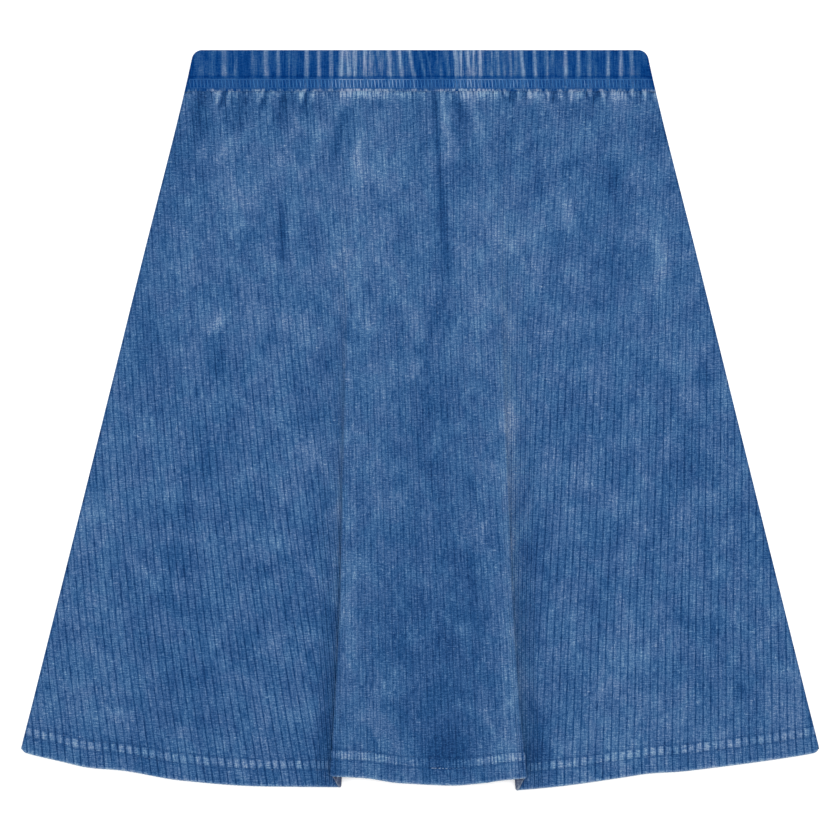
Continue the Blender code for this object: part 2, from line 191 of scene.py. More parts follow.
# Rows of points from the waist seam down. Body is a share of the way to the turned-up hem, and hem is a
# share of that hem, whose cloth is double. The lists are in millimetres, below the seam and above the hem's
# edge, with even rows between them.
PanelRow = namedtuple("PanelRow", "body hem")
ROWS_BELOW_SEAM = (0.0, 1.0, 1.8, 2.7, 3.6, 4.6, 5.7, 6.9, 8.2, 9.6, 11.1, 12.7, 14.4, 16.2, 18.2, 20.4)
ROWS_ABOVE_HEM = (
    *(20.2, 18.9, 18.0, 17.4, 17.0, 16.7, 16.3, 15.7, 14.8, 13.6, 12.4, 11.5, 10.9, 10.5, 10.1, 9.5),
    *(8.6, 7.4, 6.0, 4.6, 3.2, 2.1, 1.3, 0.7, 0.3, 0.0),
)
ROWS_BETWEEN = 76

# The hem's two rows of needle thread, the knit that swells between them, and the pale loose thread's place
HEM_NEEDLE_ROWS = (0.0167, 0.0105)
NEEDLE_PULL = 0.00030
NEEDLE_PULL_WIDTH = 0.0008
HEM_SWELL = 0.00012
HEM_STITCH = 0.0025
HEM_THREAD = 0.00042
LOOSE_THREAD_ACROSS = 0.0120
LOOSE_THREAD_REACH = 0.0052
STITCH_ARCH = 0.00022
STITCH_LIFT = 0.00008
# Half a stitch's reach, as a share of the stitch, and how far in from the side seam the rows begin
STITCH_HALF = 0.48
STITCH_FROM_SIDE = 0.0012
HEM_SEEDS = {True: 11, False: 12}

# The waist's cover stitch: two needle rows and a looper thread that goes to and fro between them
WAIST_NEEDLE_ROWS = (0.0184, 0.0236)
WAIST_ROW_PALENESS = (2.0, 0.6)
WAIST_STITCH = 0.0022
# How much of its own length a needle stitch covers
WAIST_STITCH_SHARE = 0.92
WAIST_SEEDS = {True: 21, False: 22}
LOOPER_INSET = 0.0002
WAIST_THREAD = 0.00046
# The looper's two legs: where each starts and ends along a stitch, how thick and how pale it is
LOOPER_LEGS = table(
    "start end thick pale",
    (0.0, 0.20, 1.4, 0.25),
    (0.62, 0.12, 0.85, -0.35),
)

# A fold, ridge or trough that was pressed or drawn into the cloth, from one end to the other, in millimetres.
# Shade is painted light and shade along it, paler where it rises and darker where it sinks, partly the wash's
# own wear: above 0 is paler and below 0 is darker.
CREASE = "across down end_across end_down width height shade"
LONG_CREASES = table(
    CREASE,
    (8.8, 20, 13.0, 100, 1.5, -0.35, -0.8), (12.0, 60, 17.5, 150, 2.6, -0.25, -0.7),
    (12.6, 26, 21.0, 74, 2.8, 0.5, 0.75), (21.5, 26, 29.0, 56, 3.4, -0.1, -0.55),
    (30.0, 26, 42.0, 70, 3.0, 0.5, 0.45), (12.3, 152, 2.5, 194, 3.4, -0.3, -0.45),
    (2.0, 188, -6.0, 206, 3.0, 0.4, 0.4), (-85.0, 84, -86.0, 146, 3.0, -0.25, -0.6),
    (-79.5, 86, -80.0, 140, 3.0, 0.5, 0.25), (-122.5, 172, -126.0, 224, 3.8, -0.25, -0.30),
    (-116.0, 160, -138.0, 179, 3.6, 0.8, 0.6), (-60.0, 38, -70.0, 84, 3.4, 0.5, 0.3),
    (-49.0, 36, -56.0, 72, 3.0, -0.1, -0.3), (-34.5, 28, -41.5, 96, 3.2, 0.6, 0.35),
    (-45.0, 30, -56.0, 84, 2.0, -0.2, -0.4), (-23.0, 34, -27.0, 56, 2.6, 0.4, 0.35),
    (-112.0, 48, -133.0, 76, 3.2, 0.6, 0.4), (-98.0, 44, -118.0, 80, 3.0, -0.1, -0.35),
    (-128.0, 38, -140.0, 60, 3.2, -0.1, -0.4), (88.0, 88, 98.0, 126, 3.0, 0.5, 0.4),
    (145.0, 96, 152.0, 170, 4.0, 0.7, 0.35), (118.0, 60, 122.0, 96, 5.0, -0.1, -0.4),
    (96.0, 200, 120.0, 196, 4.0, 0.4, 0.3), (20.0, 354, 36.0, 366, 2.4, 0.4, 0.3),
    (29.6, 275, 38.5, 424, 4.5, -0.5, -0.40),
)

# Puckers that the elastic draws in below the seam come in groups, one for each arc of the casing's gathers.
# Across is from the group's own place.
LEFT_PUCKER_PLACES = (-126.3, -100.3, -74.8)
LEFT_PUCKERS = table(
    CREASE,
    (-1.6, 24, 1.6, 31, 1.3, 0.8, 0.8), (2.2, 27, -0.6, 35, 1.4, 0.7, 0.7),
    (5.4, 25, 1.0, 40, 1.8, -0.3, -0.7), (9.0, 24, 5.8, 37, 1.3, 0.7, 0.55),
    (-12.0, 24, -13.5, 32, 1.3, 0.4, 0.35), (-7.0, 24, -8.0, 31, 1.2, 0.4, 0.3),
    (-9.5, 26, -12.5, 56, 5.0, -0.25, -0.5), (14.0, 24, 12.0, 32, 1.2, 0.4, 0.3),
)
RIGHT_PUCKER_PLACES = (52.3, 78.2, 104.1, 130.2)
RIGHT_PUCKERS = table(
    CREASE,
    (-1.9, 24, 0.6, 33, 0.9, -0.25, -0.9), (0.2, 24, 1.6, 31, 1.2, 0.7, 0.9),
    (4.0, 25, 4.5, 35, 2.2, -0.2, -0.7), (6.0, 24, 8.6, 32, 0.9, -0.25, -0.7),
    (7.9, 24, 9.6, 34, 1.3, 0.7, 0.8), (12.0, 25, 12.2, 33, 1.8, -0.2, -0.45),
    (15.3, 24, 15.9, 34, 1.4, 0.8, 0.9), (19.6, 24, 19.8, 34, 3.6, 0.4, 0.5),
)
# Finer ones crowd in front of the middle, from one place to another
FRILL_TOP_DOWN = 24
FRILL_SEED = 3
FRILL_RUNS = table(
    "start end step height shade",
    (-50.0, -19.0, 2.3, 0.6, 0.65),
    (-17.0, 5.0, 2.6, 0.4, 0.35),
    (15.0, 49.0, 2.5, 0.5, 0.65),
)

# How crowded the gathers are outside the runs of frills
GATHERS_APART = 0.28
# Creases that start no lower than this begin at full depth, under the casing's edge
CREASES_FROM_SEAM = 27
# How high the front's slow swells are
SWELL_HEIGHT = 0.0006
# Creases lie flat this near to the waist seam and the sides, less high by the hem and along the folds
FLAT_AT_SEAM = 0.0022
FLAT_AT_SIDE = 0.012
FLAT_FROM_HEM = 0.030
FOLD_CREASE_SHARE = 0.35
# The width of the hem's paler rim and of the painted shade along the side seams' rounded edges, and the
# painted shade on the seams themselves
EDGE_RIM = 0.0011
SEAM_SHADE = -0.3

# Places that are paler or darker: the wash's own patches, and along the folds painted highlights on their
# edges and painted shade beside them. Across, down, and how far each reaches both ways
PATCH_STRENGTH = 0.65
WASH_AND_FOLD_SHADE_PATCHES = table(
    "across down wide long shade",
    (-24, 74, 16, 11, 0.40), (-42, 120, 14, 45, 0.35), (-96, 70, 18, 34, 0.18),
    (193, 198, 9, 18, 0.30), (-144, 198, 10, 12, 0.20), (-118, 95, 10, 26, 0.30),
    (-62, 44, 9, 10, 0.25), (-20, 140, 22, 60, 0.15), (53, 110, 9, 18, 0.45),
    (36, 150, 12, 60, 0.30), (54, 205, 5, 90, 0.45), (55.5, 236, 4, 22, 0.60),
    (56.0, 330, 5, 110, 0.45), (58.0, 408, 7, 22, 0.40), (-43.5, 320, 5, 100, 0.30),
    (70, 130, 9, 26, 0.25), (92, 100, 9, 20, 0.12), (150, 125, 7, 50, 0.25),
    (162, 193, 8, 14, 0.35), (130, 380, 16, 18, 0.50), (112, 424, 20, 24, 0.20),
    (160, 424, 26, 16, 0.25), (-72, 250, 11, 14, 0.40), (-88, 168, 8, 10, 0.35),
    (-70, 172, 9, 12, 0.25), (-155, 272, 12, 10, 0.35), (-190, 284, 14, 12, 0.35),
    (-206, 380, 16, 40, 0.20), (-150, 94, 8, 20, -0.35), (-145, 32, 5, 10, 0.35),
    (-150, 60, 9, 22, -0.35), (146, 46, 7, 14, -0.35), (118, 82, 9, 13, -0.40),
    (112, 128, 14, 36, -0.25), (190, 262, 12, 14, 0.30), (166, 230, 16, 22, -0.25),
    (168, 266, 14, 12, -0.30), (162, 354, 10, 12, -0.35), (178, 200, 6, 10, -0.45),
    (-146, 284, 8, 12, -0.45), (-120, 240, 14, 16, -0.25), (-56, 226, 10, 12, -0.30),
    (-150, 318, 18, 12, -0.30), (-130, 366, 40, 26, -0.25), (-146, 410, 20, 24, -0.25),
    (6, 226, 12, 34, -0.40), (4, 290, 22, 60, -0.20), (6, 360, 34, 50, -0.28),
    (12, 396, 22, 34, -0.35), (14, 434, 17, 17, -1.00), (-118, 30, 34, 7, -0.40),
    (-64, 33, 13, 9, -0.45), (16, 31, 8, 8, -0.40), (24, 49, 18, 10, -0.25),
    (94, 49, 10, 10, -0.20), (-64, 86, 10, 12, 0.30), (114, 142, 10, 12, 0.30),
    (-25, 365, 10, 20, -0.20), (74, 366, 8, 20, 0.25), (-104, 52, 12, 10, 0.35),
    (-166, 186, 9, 26, -0.30), (-208, 286, 12, 22, 0.35), (232, 380, 8, 60, 0.40),
    (70, 346, 24, 8, -0.20), (67, 312, 9, 9, -0.60), (71, 436, 9, 26, -0.65),
    (68, 370, 6, 60, -0.28), (76, 300, 6, 30, -0.25), (-53, 270, 6, 60, 0.15),
    (-56, 390, 6, 66, -0.45), (-60, 440, 8, 28, -0.55),
)

# The casing's ridges: across, half width, how pale, and how far each leans from top to stitching
RIDGE = "across width pale lean"
BAND_RIDGES = table(
    RIDGE,
    (-136.1, 2.6, 0.22, 0.0), (-128.9, 1.9, 0.30, 0.0), (-121.2, 1.9, 0.75, 0.0),
    (-114.0, 1.3, 0.45, 0.0), (-103.2, 1.6, 0.40, 0.0), (-95.5, 1.8, 0.80, 0.0),
    (-87.8, 1.2, 0.65, 0.0), (-81.0, 0.8, 0.40, 0.0), (-78.1, 1.5, 0.30, 0.0),
    (-70.2, 1.5, 0.85, 0.0), (-62.6, 1.3, 0.85, 0.0), (-55.1, 1.3, 0.75, 0.0),
    (-48.7, 1.5, 1.00, -0.4), (-44.5, 1.8, 0.70, 0.0), (-40.4, 1.2, 0.85, 0.0),
    (-33.8, 1.2, 0.80, 0.0), (-30.2, 1.2, 0.60, 0.0), (-25.0, 1.9, 0.25, 0.0),
    (-18.9, 1.4, 0.95, 0.6), (-12.2, 1.1, 1.00, 1.4), (-5.3, 1.3, 0.90, 3.0),
    (1.1, 1.1, 0.60, 3.2), (5.3, 0.7, 0.40, 3.2), (11.4, 1.2, 0.30, 2.4),
    (16.6, 1.5, 0.30, 1.8), (22.0, 1.5, 0.95, 1.0), (25.4, 0.9, 0.70, 0.6),
    (29.8, 1.3, 0.80, 0.4), (33.0, 1.2, 0.70, 0.4), (37.1, 1.2, 1.00, 0.5),
    (44.5, 1.0, 0.40, 0.6), (48.1, 1.1, 0.50, 0.8), (51.7, 0.8, 0.40, 0.8),
    (55.9, 1.0, 0.60, 0.6), (59.3, 1.2, 0.45, 0.6), (63.2, 1.3, 0.90, 1.4),
    (71.1, 1.4, 0.85, 0.6), (78.3, 1.4, 0.60, 0.4), (82.0, 0.8, 0.30, 0.2),
    (90.0, 1.4, 0.85, 0.2), (97.9, 1.4, 0.85, 0.0), (104.6, 1.5, 0.70, 0.4),
    (108.2, 0.8, 0.30, 0.0), (116.2, 1.3, 0.90, 0.0), (124.1, 1.3, 0.85, 0.0),
    (130.8, 1.4, 0.65, 0.6), (134.4, 1.2, 0.25, 0.4),
)
BAND_RIDGE_HEIGHT = 0.0008
BAND_TICK_HEIGHT = 0.00008
BAND_STITCHED_DOWN = 0.0238
# Stretches of the casing that are paler all over: middle, half length, how much
BAND_ZONES = ((-28, 23, 0.30), (44, 22, 0.28))
BACK_RIDGE_STEP = 5.9
BACK_RIDGE_SEED = 7

# Colours of the washed dye from its darkest to its palest, as places on a ramp with red, green and blue
FACE_DYE = (
    (0.00, (20, 50, 92)),
    (0.22, (29, 68, 115)),
    (0.45, (53, 90, 134)),
    (0.70, (85, 117, 155)),
    (1.00, (136, 160, 184)),
)
WRONG_SIDE_DYE = (
    (0.00, (42, 52, 74)),
    (0.45, (74, 84, 108)),
    (1.00, (132, 140, 156)),
)
BAND_DYE = (
    (0.00, (2, 42, 98)),
    (0.20, (8, 58, 117)),
    (0.45, (42, 83, 131)),
    (0.70, (86, 112, 149)),
    (1.00, (134, 154, 181)),
)
THREAD_DYE = (
    (0.00, (12, 62, 122)),
    (0.50, (54, 108, 165)),
    (1.00, (158, 182, 212)),
)
HEM_THREAD_DYE = (
    (0.00, (14, 52, 102)),
    (0.50, (44, 86, 134)),
    (1.00, (150, 172, 200)),
)

# The wash leaves some places greener and others more violet. Each is multiplied into the dye.
TEAL_TINT = (0.94, 1.00, 1.01, 1.0)
VIOLET_TINT = (1.07, 0.985, 1.0, 1.0)

# The knit's noises: how far each is drawn out across and down, turned and moved, its scale, detail,
# roughness and distortion, and how strongly it tells as patches or as grain
KNIT_NOISES = table(
    "name across down turn shift scale detail roughness distortion patches grains",
    ("clouds", 1, 0.85, 0, 0, 56, 3, 0.42, 0.5, 0.46, 0),
    ("broad", 1, 1, 0, 0, 17, 2, 0.5, 0, 0.08, 0),
    ("smudges", 90, 230, 0.2, 7, 1, 2, 0.6, 0.7, 0.11, 0),
    ("wisps", 360, 50, 0.10, 0, 1, 3, 0.65, 0.6, 0.27, 0),
    ("slanted", 230, 70, -0.55, 5, 1, 2, 0.6, 0.8, 0.08, 0),
    ("grain", 1, 1, 0, 0, 1450, 1, 0.6, 0, 0, 1.0),
    ("yarns", 1200, 110, 0, 2, 1, 1, 0.6, 0, 0, 0.60),
    ("dashes", 260, 1250, 0, 9, 1, 1, 0.7, 0, 0, 0.85),
    ("frills", 900, 60, 0.06, 6, 1, 1, 0.6, 0.4, 0, 0),
    ("scuffs", 150, 640, -0.45, 13, 1, 1, 0.5, 0.6, 0, 0),
    ("worn", 1, 1, 0, 0, 75, 2, 0.6, 0, 0, 0),
    ("hue", 1, 0.7, 0, 4, 70, 2, 0.6, 0.5, 0, 0),
)
# The noise that gives each rib its own tone, set as above
RIB_NOISE = (1, 1, 0, 0, 1, 2, 0.6, 0)
RIB_TONE = 0.22
SCUFF_TONE = 0.26
COURSE_TONE = 0.02

SCENE_WIDTH = 0.5208
LENS = 100.0
SENSOR = 36.0
LOOK_AT = (-0.0001, 0.0002, 0.0030)
FLOOR_SIZE = 30.0
FLOOR_HEIGHT = -0.0002
FLOOR_LOOK = {
    "Base Color": (0.94, 0.94, 0.94, 1.0),
    "Roughness": 0.8,
    "Emission Color": (1.0, 1.0, 1.0, 1.0),
    "Emission Strength": 0.28,
    "Specular IOR Level": 0.1,
}
SKY_STRENGTH = 0.72
LIGHTS = table(
    "name place size power",
    ("overhead_light", (0.25, 0.45, 1.9), 1.6, 24.0),
    ("side_light", (-1.6, -0.5, 1.3), 1.2, 5.0),
)


def level_slopes(places, values):
    """Slopes at a curve's points that never let it swing past them: flat wherever the curve turns back."""
    steep = np.diff(values) / np.diff(places)
    before, after = steep[:-1], steep[1:]
    same_way = before * after > 0
    between = np.zeros(len(before))
    between[same_way] = 2 / (1 / before[same_way] + 1 / after[same_way])
    return np.concatenate([steep[:1], between, steep[-1:]])


def read_column(rows, name, at):
    """One column of a table on a smooth curve through its rows, read at places along its first column."""
    places = np.array([row[0] for row in rows])
    values = np.array([getattr(row, name) for row in rows])
    slopes = level_slopes(places, values)
    at = np.clip(at, places[0], places[-1])
    index = np.clip(np.searchsorted(places, at, side="right") - 1, 0, len(places) - 2)
    span = places[index + 1] - places[index]
    share = (at - places[index]) / span
    rest = 1 - share
    ends = values[index] * rest**2 * (1 + 2 * share) + values[index + 1] * share**2 * (1 + 2 * rest)
    return ends + span * share * rest * (slopes[index] * rest - slopes[index + 1] * share)


def read_row(rows, at):
    """All the other columns of a table, read at one place along its first column."""
    return {name: float(read_column(rows, name, at)) for name in rows[0]._fields[1:]}


def ease(share):
    """A smooth step from 0 to 1."""
    share = np.clip(share, 0, 1)
    return share * share * (3 - 2 * share)


def plateau(value, start, rise, end, fall):
    """Rises from 0 to 1 over a short way from start on, and falls back to 0 from end on."""
    return ease((value - start) / rise) * (1 - ease((value - end) / fall))


def bell(distance, width, power=2):
    """1 in the middle, falling softly to 0 on both sides."""
    return np.exp(-(np.abs(distance / width) ** power))


def rounded(distance, radius):
    """0 at an edge and 1 from the radius on, as a quarter of a circle rises."""
    return np.sqrt(1 - (1 - np.clip(distance / radius, 0, 1)) ** 2)


def run_sum(steps):
    """How far along each point of a line lies, from the steps between its points."""
    return np.concatenate([[0], np.cumsum(steps)])


def place(across, down, height):
    """Points of the garment in the scene's own axes, one to a row."""
    return np.stack([across, LENGTH / 2 - down, height], axis=-1)


def half_width(down):
    """Half the skirt's width at a distance down: its side seams are nearly straight."""
    straight = WAIST_WIDTH / 2 + (HEM_WIDTH - WAIST_WIDTH) / 2 * down / HEM_CORNER_DOWN
    return straight + read_column(SIDE_CURVE, "out", down)


def rib_crest(ribs):
    """0 in the groove between two ribs and 1 on a rib's crest."""
    return 0.5 - 0.5 * np.cos(2 * math.pi * ribs)


def panel_rows():
    """The panels' rows: close together below the seam and in the hem, and evenly spaced between."""
    body_length = MIDDLE_HEM_DOWN - HEM_DEPTH - PANEL_TOP_DOWN
    below_seam = [PanelRow(down * MM / body_length, 0.0) for down in ROWS_BELOW_SEAM]
    above_hem = []
    for up in ROWS_ABOVE_HEM:
        from_hem = up * MM - HEM_DEPTH
        above_hem.append(PanelRow(1 - max(0, from_hem) / body_length, max(0, -from_hem) / HEM_DEPTH))
    start, end = below_seam[-1].body, above_hem[0].body
    between = [PanelRow(share, 0.0) for share in np.linspace(start, end, ROWS_BETWEEN + 2)[1:-1]]
    return below_seam + between + above_hem


def row_level(row):
    """A row's level, from 0 at the waist seam to 1 at the hem."""
    hem_level = 1 - HEM_DEPTH / (MIDDLE_HEM_DOWN - PANEL_TOP_DOWN)
    return row.body * hem_level + row.hem * (1 - hem_level)


def row_down(row, hem):
    """How far down a row lies where the hem's edge is so far down. The first row is tucked under the band."""
    down = PANEL_TOP_DOWN + row.body * (hem - HEM_DEPTH - PANEL_TOP_DOWN) + row.hem * HEM_DEPTH
    return down - TUCK_UNDER_BAND * (row.body == 0)


def row_cloth(row):
    """The wall's thickness in a row: the hem is turned up once, so its cloth is double."""
    return CLOTH + (HEM_CLOTH - CLOTH) * min(1.0, row.hem / HEM_STEP)


def hem_down(across, panel):
    """How far down the hem's edge lies: panel is 0 on the left side, 1 in the middle and 2 on the right."""
    left = read_column(LEFT_HEM, "down", across) * np.clip(1 - panel, 0, 1)
    middle = read_column(CENTRE_HEM, "down", across) * (1 - np.abs(1 - panel))
    right = read_column(RIGHT_HEM, "down", across) * np.clip(panel - 1, 0, 1)
    short = HEM_CORNER - np.minimum(HEM_CORNER, HEM_WIDTH / 2 - np.abs(across))
    return left + middle + right - (HEM_CORNER - np.sqrt(HEM_CORNER**2 - np.minimum(short, HEM_CORNER) ** 2))


def fold_curve(fold, from_middle):
    """A fold's S curve, from the side up to the middle: places, heights, and shares of the curve's length."""
    turn = math.radians(fold["degrees"])
    arc = turn * fold["radius"]
    along = np.linspace(0, 2 * arc + fold["straight"], SECTION_STEPS)
    heading = turn * np.clip(np.minimum(along, along[-1] - along) / arc, 0, 1)
    step = along[1] - along[0]
    inwards = run_sum((np.cos(heading[1:]) + np.cos(heading[:-1])) / 2 * step)
    up = run_sum((np.sin(heading[1:]) + np.sin(heading[:-1])) / 2 * step)
    return inwards - inwards[-1] / 2 - from_middle, up, along / along[-1]


def front_section(row):
    """The middle of the front's wall along a row: a dense line of points from side to side."""
    level = row_level(row)
    fold, lay, draws = (read_row(rows, level) for rows in (FOLDS, LAY, DRAWN_IN))
    left_x, left_up, left_share = fold_curve(fold, -fold["left"])
    right_x, right_up, right_share = fold_curve(fold, fold["right"])
    right_x, right_up, right_share = -right_x[::-1], right_up[::-1], right_share[::-1]

    beyond = HEM_WIDTH / 2 + SECTION_MARGIN
    left_side = np.linspace(-beyond, left_x[0], SECTION_STEPS)[:-1]
    right_side = np.linspace(right_x[-1], beyond, SECTION_STEPS)[1:]
    across = np.linspace(-1, 1, SECTION_STEPS)[1:-1]
    middle_x = (left_x[-1] + right_x[0]) / 2 + across * (right_x[0] - left_x[-1]) / 2
    middle_up = left_up[-1] * (SAG_SHARE + (1 - SAG_SHARE) * np.sin(math.pi * across / 2) ** 2)

    x = np.concatenate([left_side, left_x, middle_x, right_x, right_side])
    up = np.concatenate([0 * left_side, left_up, middle_up, right_up, 0 * right_side])
    left_panel, right_panel = ease(2 * left_share - 0.5), 2 - ease(2 * right_share - 0.5)
    panel = np.concatenate([0 * left_side, left_panel, 0 * across + 1, right_panel, 0 * right_side + 2])
    in_fold = np.concatenate([0 * left_side, 0 * left_x - 1, 0 * across, 0 * right_x + 1, 0 * right_side])

    hem = hem_down(x, panel)
    down = row_down(row, hem)
    inside = half_width(down) - np.abs(x)
    z = up + lay["edge"] + (lay["height"] - lay["edge"]) * ease(inside / EDGE_DROOP)

    length = run_sum(np.hypot(np.diff(x), np.diff(z)))
    left_end, right_start = len(left_side) + len(left_x), len(x) - len(right_side) - len(right_x)
    in_folds = np.interp(level, (0.2, 0.8), (0.4, 0.8))
    beside = length[[left_end - 1, right_start]] + (DRAWN_BESIDE_FOLD, -DRAWN_BESIDE_FOLD)
    left_reach = (length[len(left_side)] - DRAWN_OUTSIDE_FOLD, beside[0], beside[0] + DRAWN_INSIDE_LEFT)
    right_reach = (beside[1] - DRAWN_INSIDE_RIGHT, beside[1], length[-len(right_side)] + DRAWN_OUTSIDE_FOLD)
    drawn = draws["left"] * (np.interp(length, left_reach, (0, in_folds, 1)) - 1)
    drawn = drawn + draws["right"] * np.interp(length, right_reach, (0, 1 - in_folds, 1))
    ribs = (length + drawn) / lay["pitch"]
    between_folds = slice(left_end, right_start)
    slope_x, slope_z = np.gradient(x, length), np.gradient(z, length)
    size = np.hypot(slope_x, slope_z)
    ribs = ribs - np.interp(lay["drift"], x[between_folds], ribs[between_folds])
    lies = {"x": x, "z": z, "down": down, "up": hem - down, "inside": inside, "in_fold": in_fold}
    return {**lies, "ribs": ribs, "out_x": -slope_z / size, "out_z": slope_x / size}


def back_section(row):
    """The middle of the back's wall along a row: it lies flat, with its outer face on the floor."""
    beyond = HEM_WIDTH / 2 + SECTION_MARGIN
    x = np.linspace(-beyond, beyond, 2 * SECTION_STEPS)
    share = np.clip(x / (HEM_WIDTH / 2), -1, 1)
    hem = BACK_HEM_SIDE + (BACK_HEM_MIDDLE - BACK_HEM_SIDE) * (1 - share**2)
    down = row_down(row, hem)
    z = 0 * x + row_cloth(row) / 2
    inside = half_width(down) - np.abs(x)
    ribs = x / read_row(LAY, row_level(row))["pitch"]
    lies = {"x": x, "z": z, "down": down, "up": hem - down, "inside": inside, "in_fold": 0 * x}
    return {**lies, "ribs": ribs, "out_x": 0 * x, "out_z": 0 * x - 1}


def read_section(row, front, ribs=()):
    """A panel's section along a row, and its values at rib counts."""
    section = front_section(row) if front else back_section(row)
    return section, {name: np.interp(ribs, section["ribs"], section[name]) for name in section}


def add_creases(creases, across, down):
    """The height and the shade that creases add at places on the cloth, all in millimetres."""
    height = np.zeros(np.shape(across))
    shade = np.zeros(np.shape(across))
    for crease in creases:
        run_x = crease.end_across - crease.across
        run_down = crease.end_down - crease.down
        length = math.hypot(run_x, run_down)
        from_x, from_down = across - crease.across, down - crease.down
        along = (from_x * run_x + from_down * run_down) / length**2
        off = (from_x * run_down - from_down * run_x) / length
        fade_in = 1.0 if crease.down <= CREASES_FROM_SEAM else ease(along / 0.35)
        fade = fade_in * (1 - ease((along - 0.45) / 0.55)) * bell(off, crease.width)
        height += crease.height * fade
        shade += crease.shade * fade
    return height, shade


def all_puckers():
    """The short creases under the front's waist seam: the groups at the sides and the frills between."""
    puckers = []
    for starts, group in ((LEFT_PUCKER_PLACES, LEFT_PUCKERS), (RIGHT_PUCKER_PLACES, RIGHT_PUCKERS)):
        for start in starts:
            for one in group:
                puckers.append(one._replace(across=one.across + start, end_across=one.end_across + start))
    chance = np.random.default_rng(FRILL_SEED)
    for run in FRILL_RUNS:
        across = run.start
        while across < run.end:
            size = chance.uniform(0.5, 1.2)
            reach = chance.uniform(29.0, 36.0)
            end_across = across + chance.uniform(-1.0, 1.4)
            width = chance.uniform(0.7, 1.1)
            frill = (across, FRILL_TOP_DOWN, end_across, reach, width, run.height * size, run.shade * size)
            puckers += table(CREASE, frill)
            across += run.step * chance.uniform(0.75, 1.3)
    return puckers


def wash_and_fold_shade(across, down):
    """The shade of the wash's patches, and of the painted highlights and painted shade along the folds, at
    places on the cloth, in millimetres.
    """
    shade = np.zeros(np.shape(across))
    for patch in WASH_AND_FOLD_SHADE_PATCHES:
        far = ((across - patch.across) / patch.wide) ** 2 + ((down - patch.down) / patch.long) ** 2
        shade += PATCH_STRENGTH * patch.shade * np.exp(-far)
    return shade


def gathered(across, down):
    """How finely the cloth is drawn up beside the seam and in the casing, from 0 to 1, in millimetres."""
    crowd = GATHERS_APART + 0 * across
    for run in FRILL_RUNS:
        middle, reach = (run.start + run.end) / 2, (run.end - run.start) / 2
        crowd = np.maximum(crowd, run.shade * (1 - ease((np.abs(across - middle) - reach + 5) / 9)))
    below = bell(down - 24.5, 5.0) * ease((down - 23.6) / 0.8)
    casing = 0.36 * (1 - ease((down - 15.5) / 1.5))
    return crowd * (below + casing)


def soft_swell(across, down):
    """Slow, shallow unevenness of cloth that was laid out by hand, from 0 to 1."""
    first = np.sin(across / 19 + 1.3 * np.sin(down / 47)) * np.sin(down / 31 + 0.8 * np.sin(across / 37))
    second = np.sin(across / 9.5 + down / 60 + 2.1) * np.sin(down / 41 - across / 80)
    return 0.5 + 0.32 * first + 0.18 * second


def needle_pull(up):
    """1 along the hem's two needle rows and 0 away from them."""
    return sum(bell(up - row, NEEDLE_PULL_WIDTH) for row in HEM_NEEDLE_ROWS)


def hem_shade(up, ribs):
    """Wash along the hem: pale on the crests between the needle rows, and dark where the needles pull."""
    centre = 1 - ease((np.abs(ribs) - 13) / 2)
    crest = (1 - centre) * ease((rib_crest(ribs) - 0.04) / 0.3)
    by_folds = 0.6 + 0.7 * ease((np.abs(ribs - 2) - 3) / 5)
    crest = crest + centre * by_folds * (0.30 + 0.55 * ease((rib_crest(2 * ribs) - 0.1) / 0.5))
    uneven = 0.5 + 0.5 * np.sin(1.9 * np.floor(ribs) + 1.3 * np.sin(0.7 * np.floor(ribs)))
    between = plateau(up, 0.0109, 0.0008, 0.0157, 0.0009) * ((0.58 + 0.30 * uneven) * crest - 0.20)
    return between - 0.32 * needle_pull(up) + 1.2 * bell(up, EDGE_RIM)


def hem_relief(up):
    """How far the hem's outer face stands out: drawn in at the needle rows and swollen between them."""
    return HEM_SWELL * plateau(up, 0.0112, 0.001, 0.0152, 0.001) - NEEDLE_PULL * needle_pull(up)


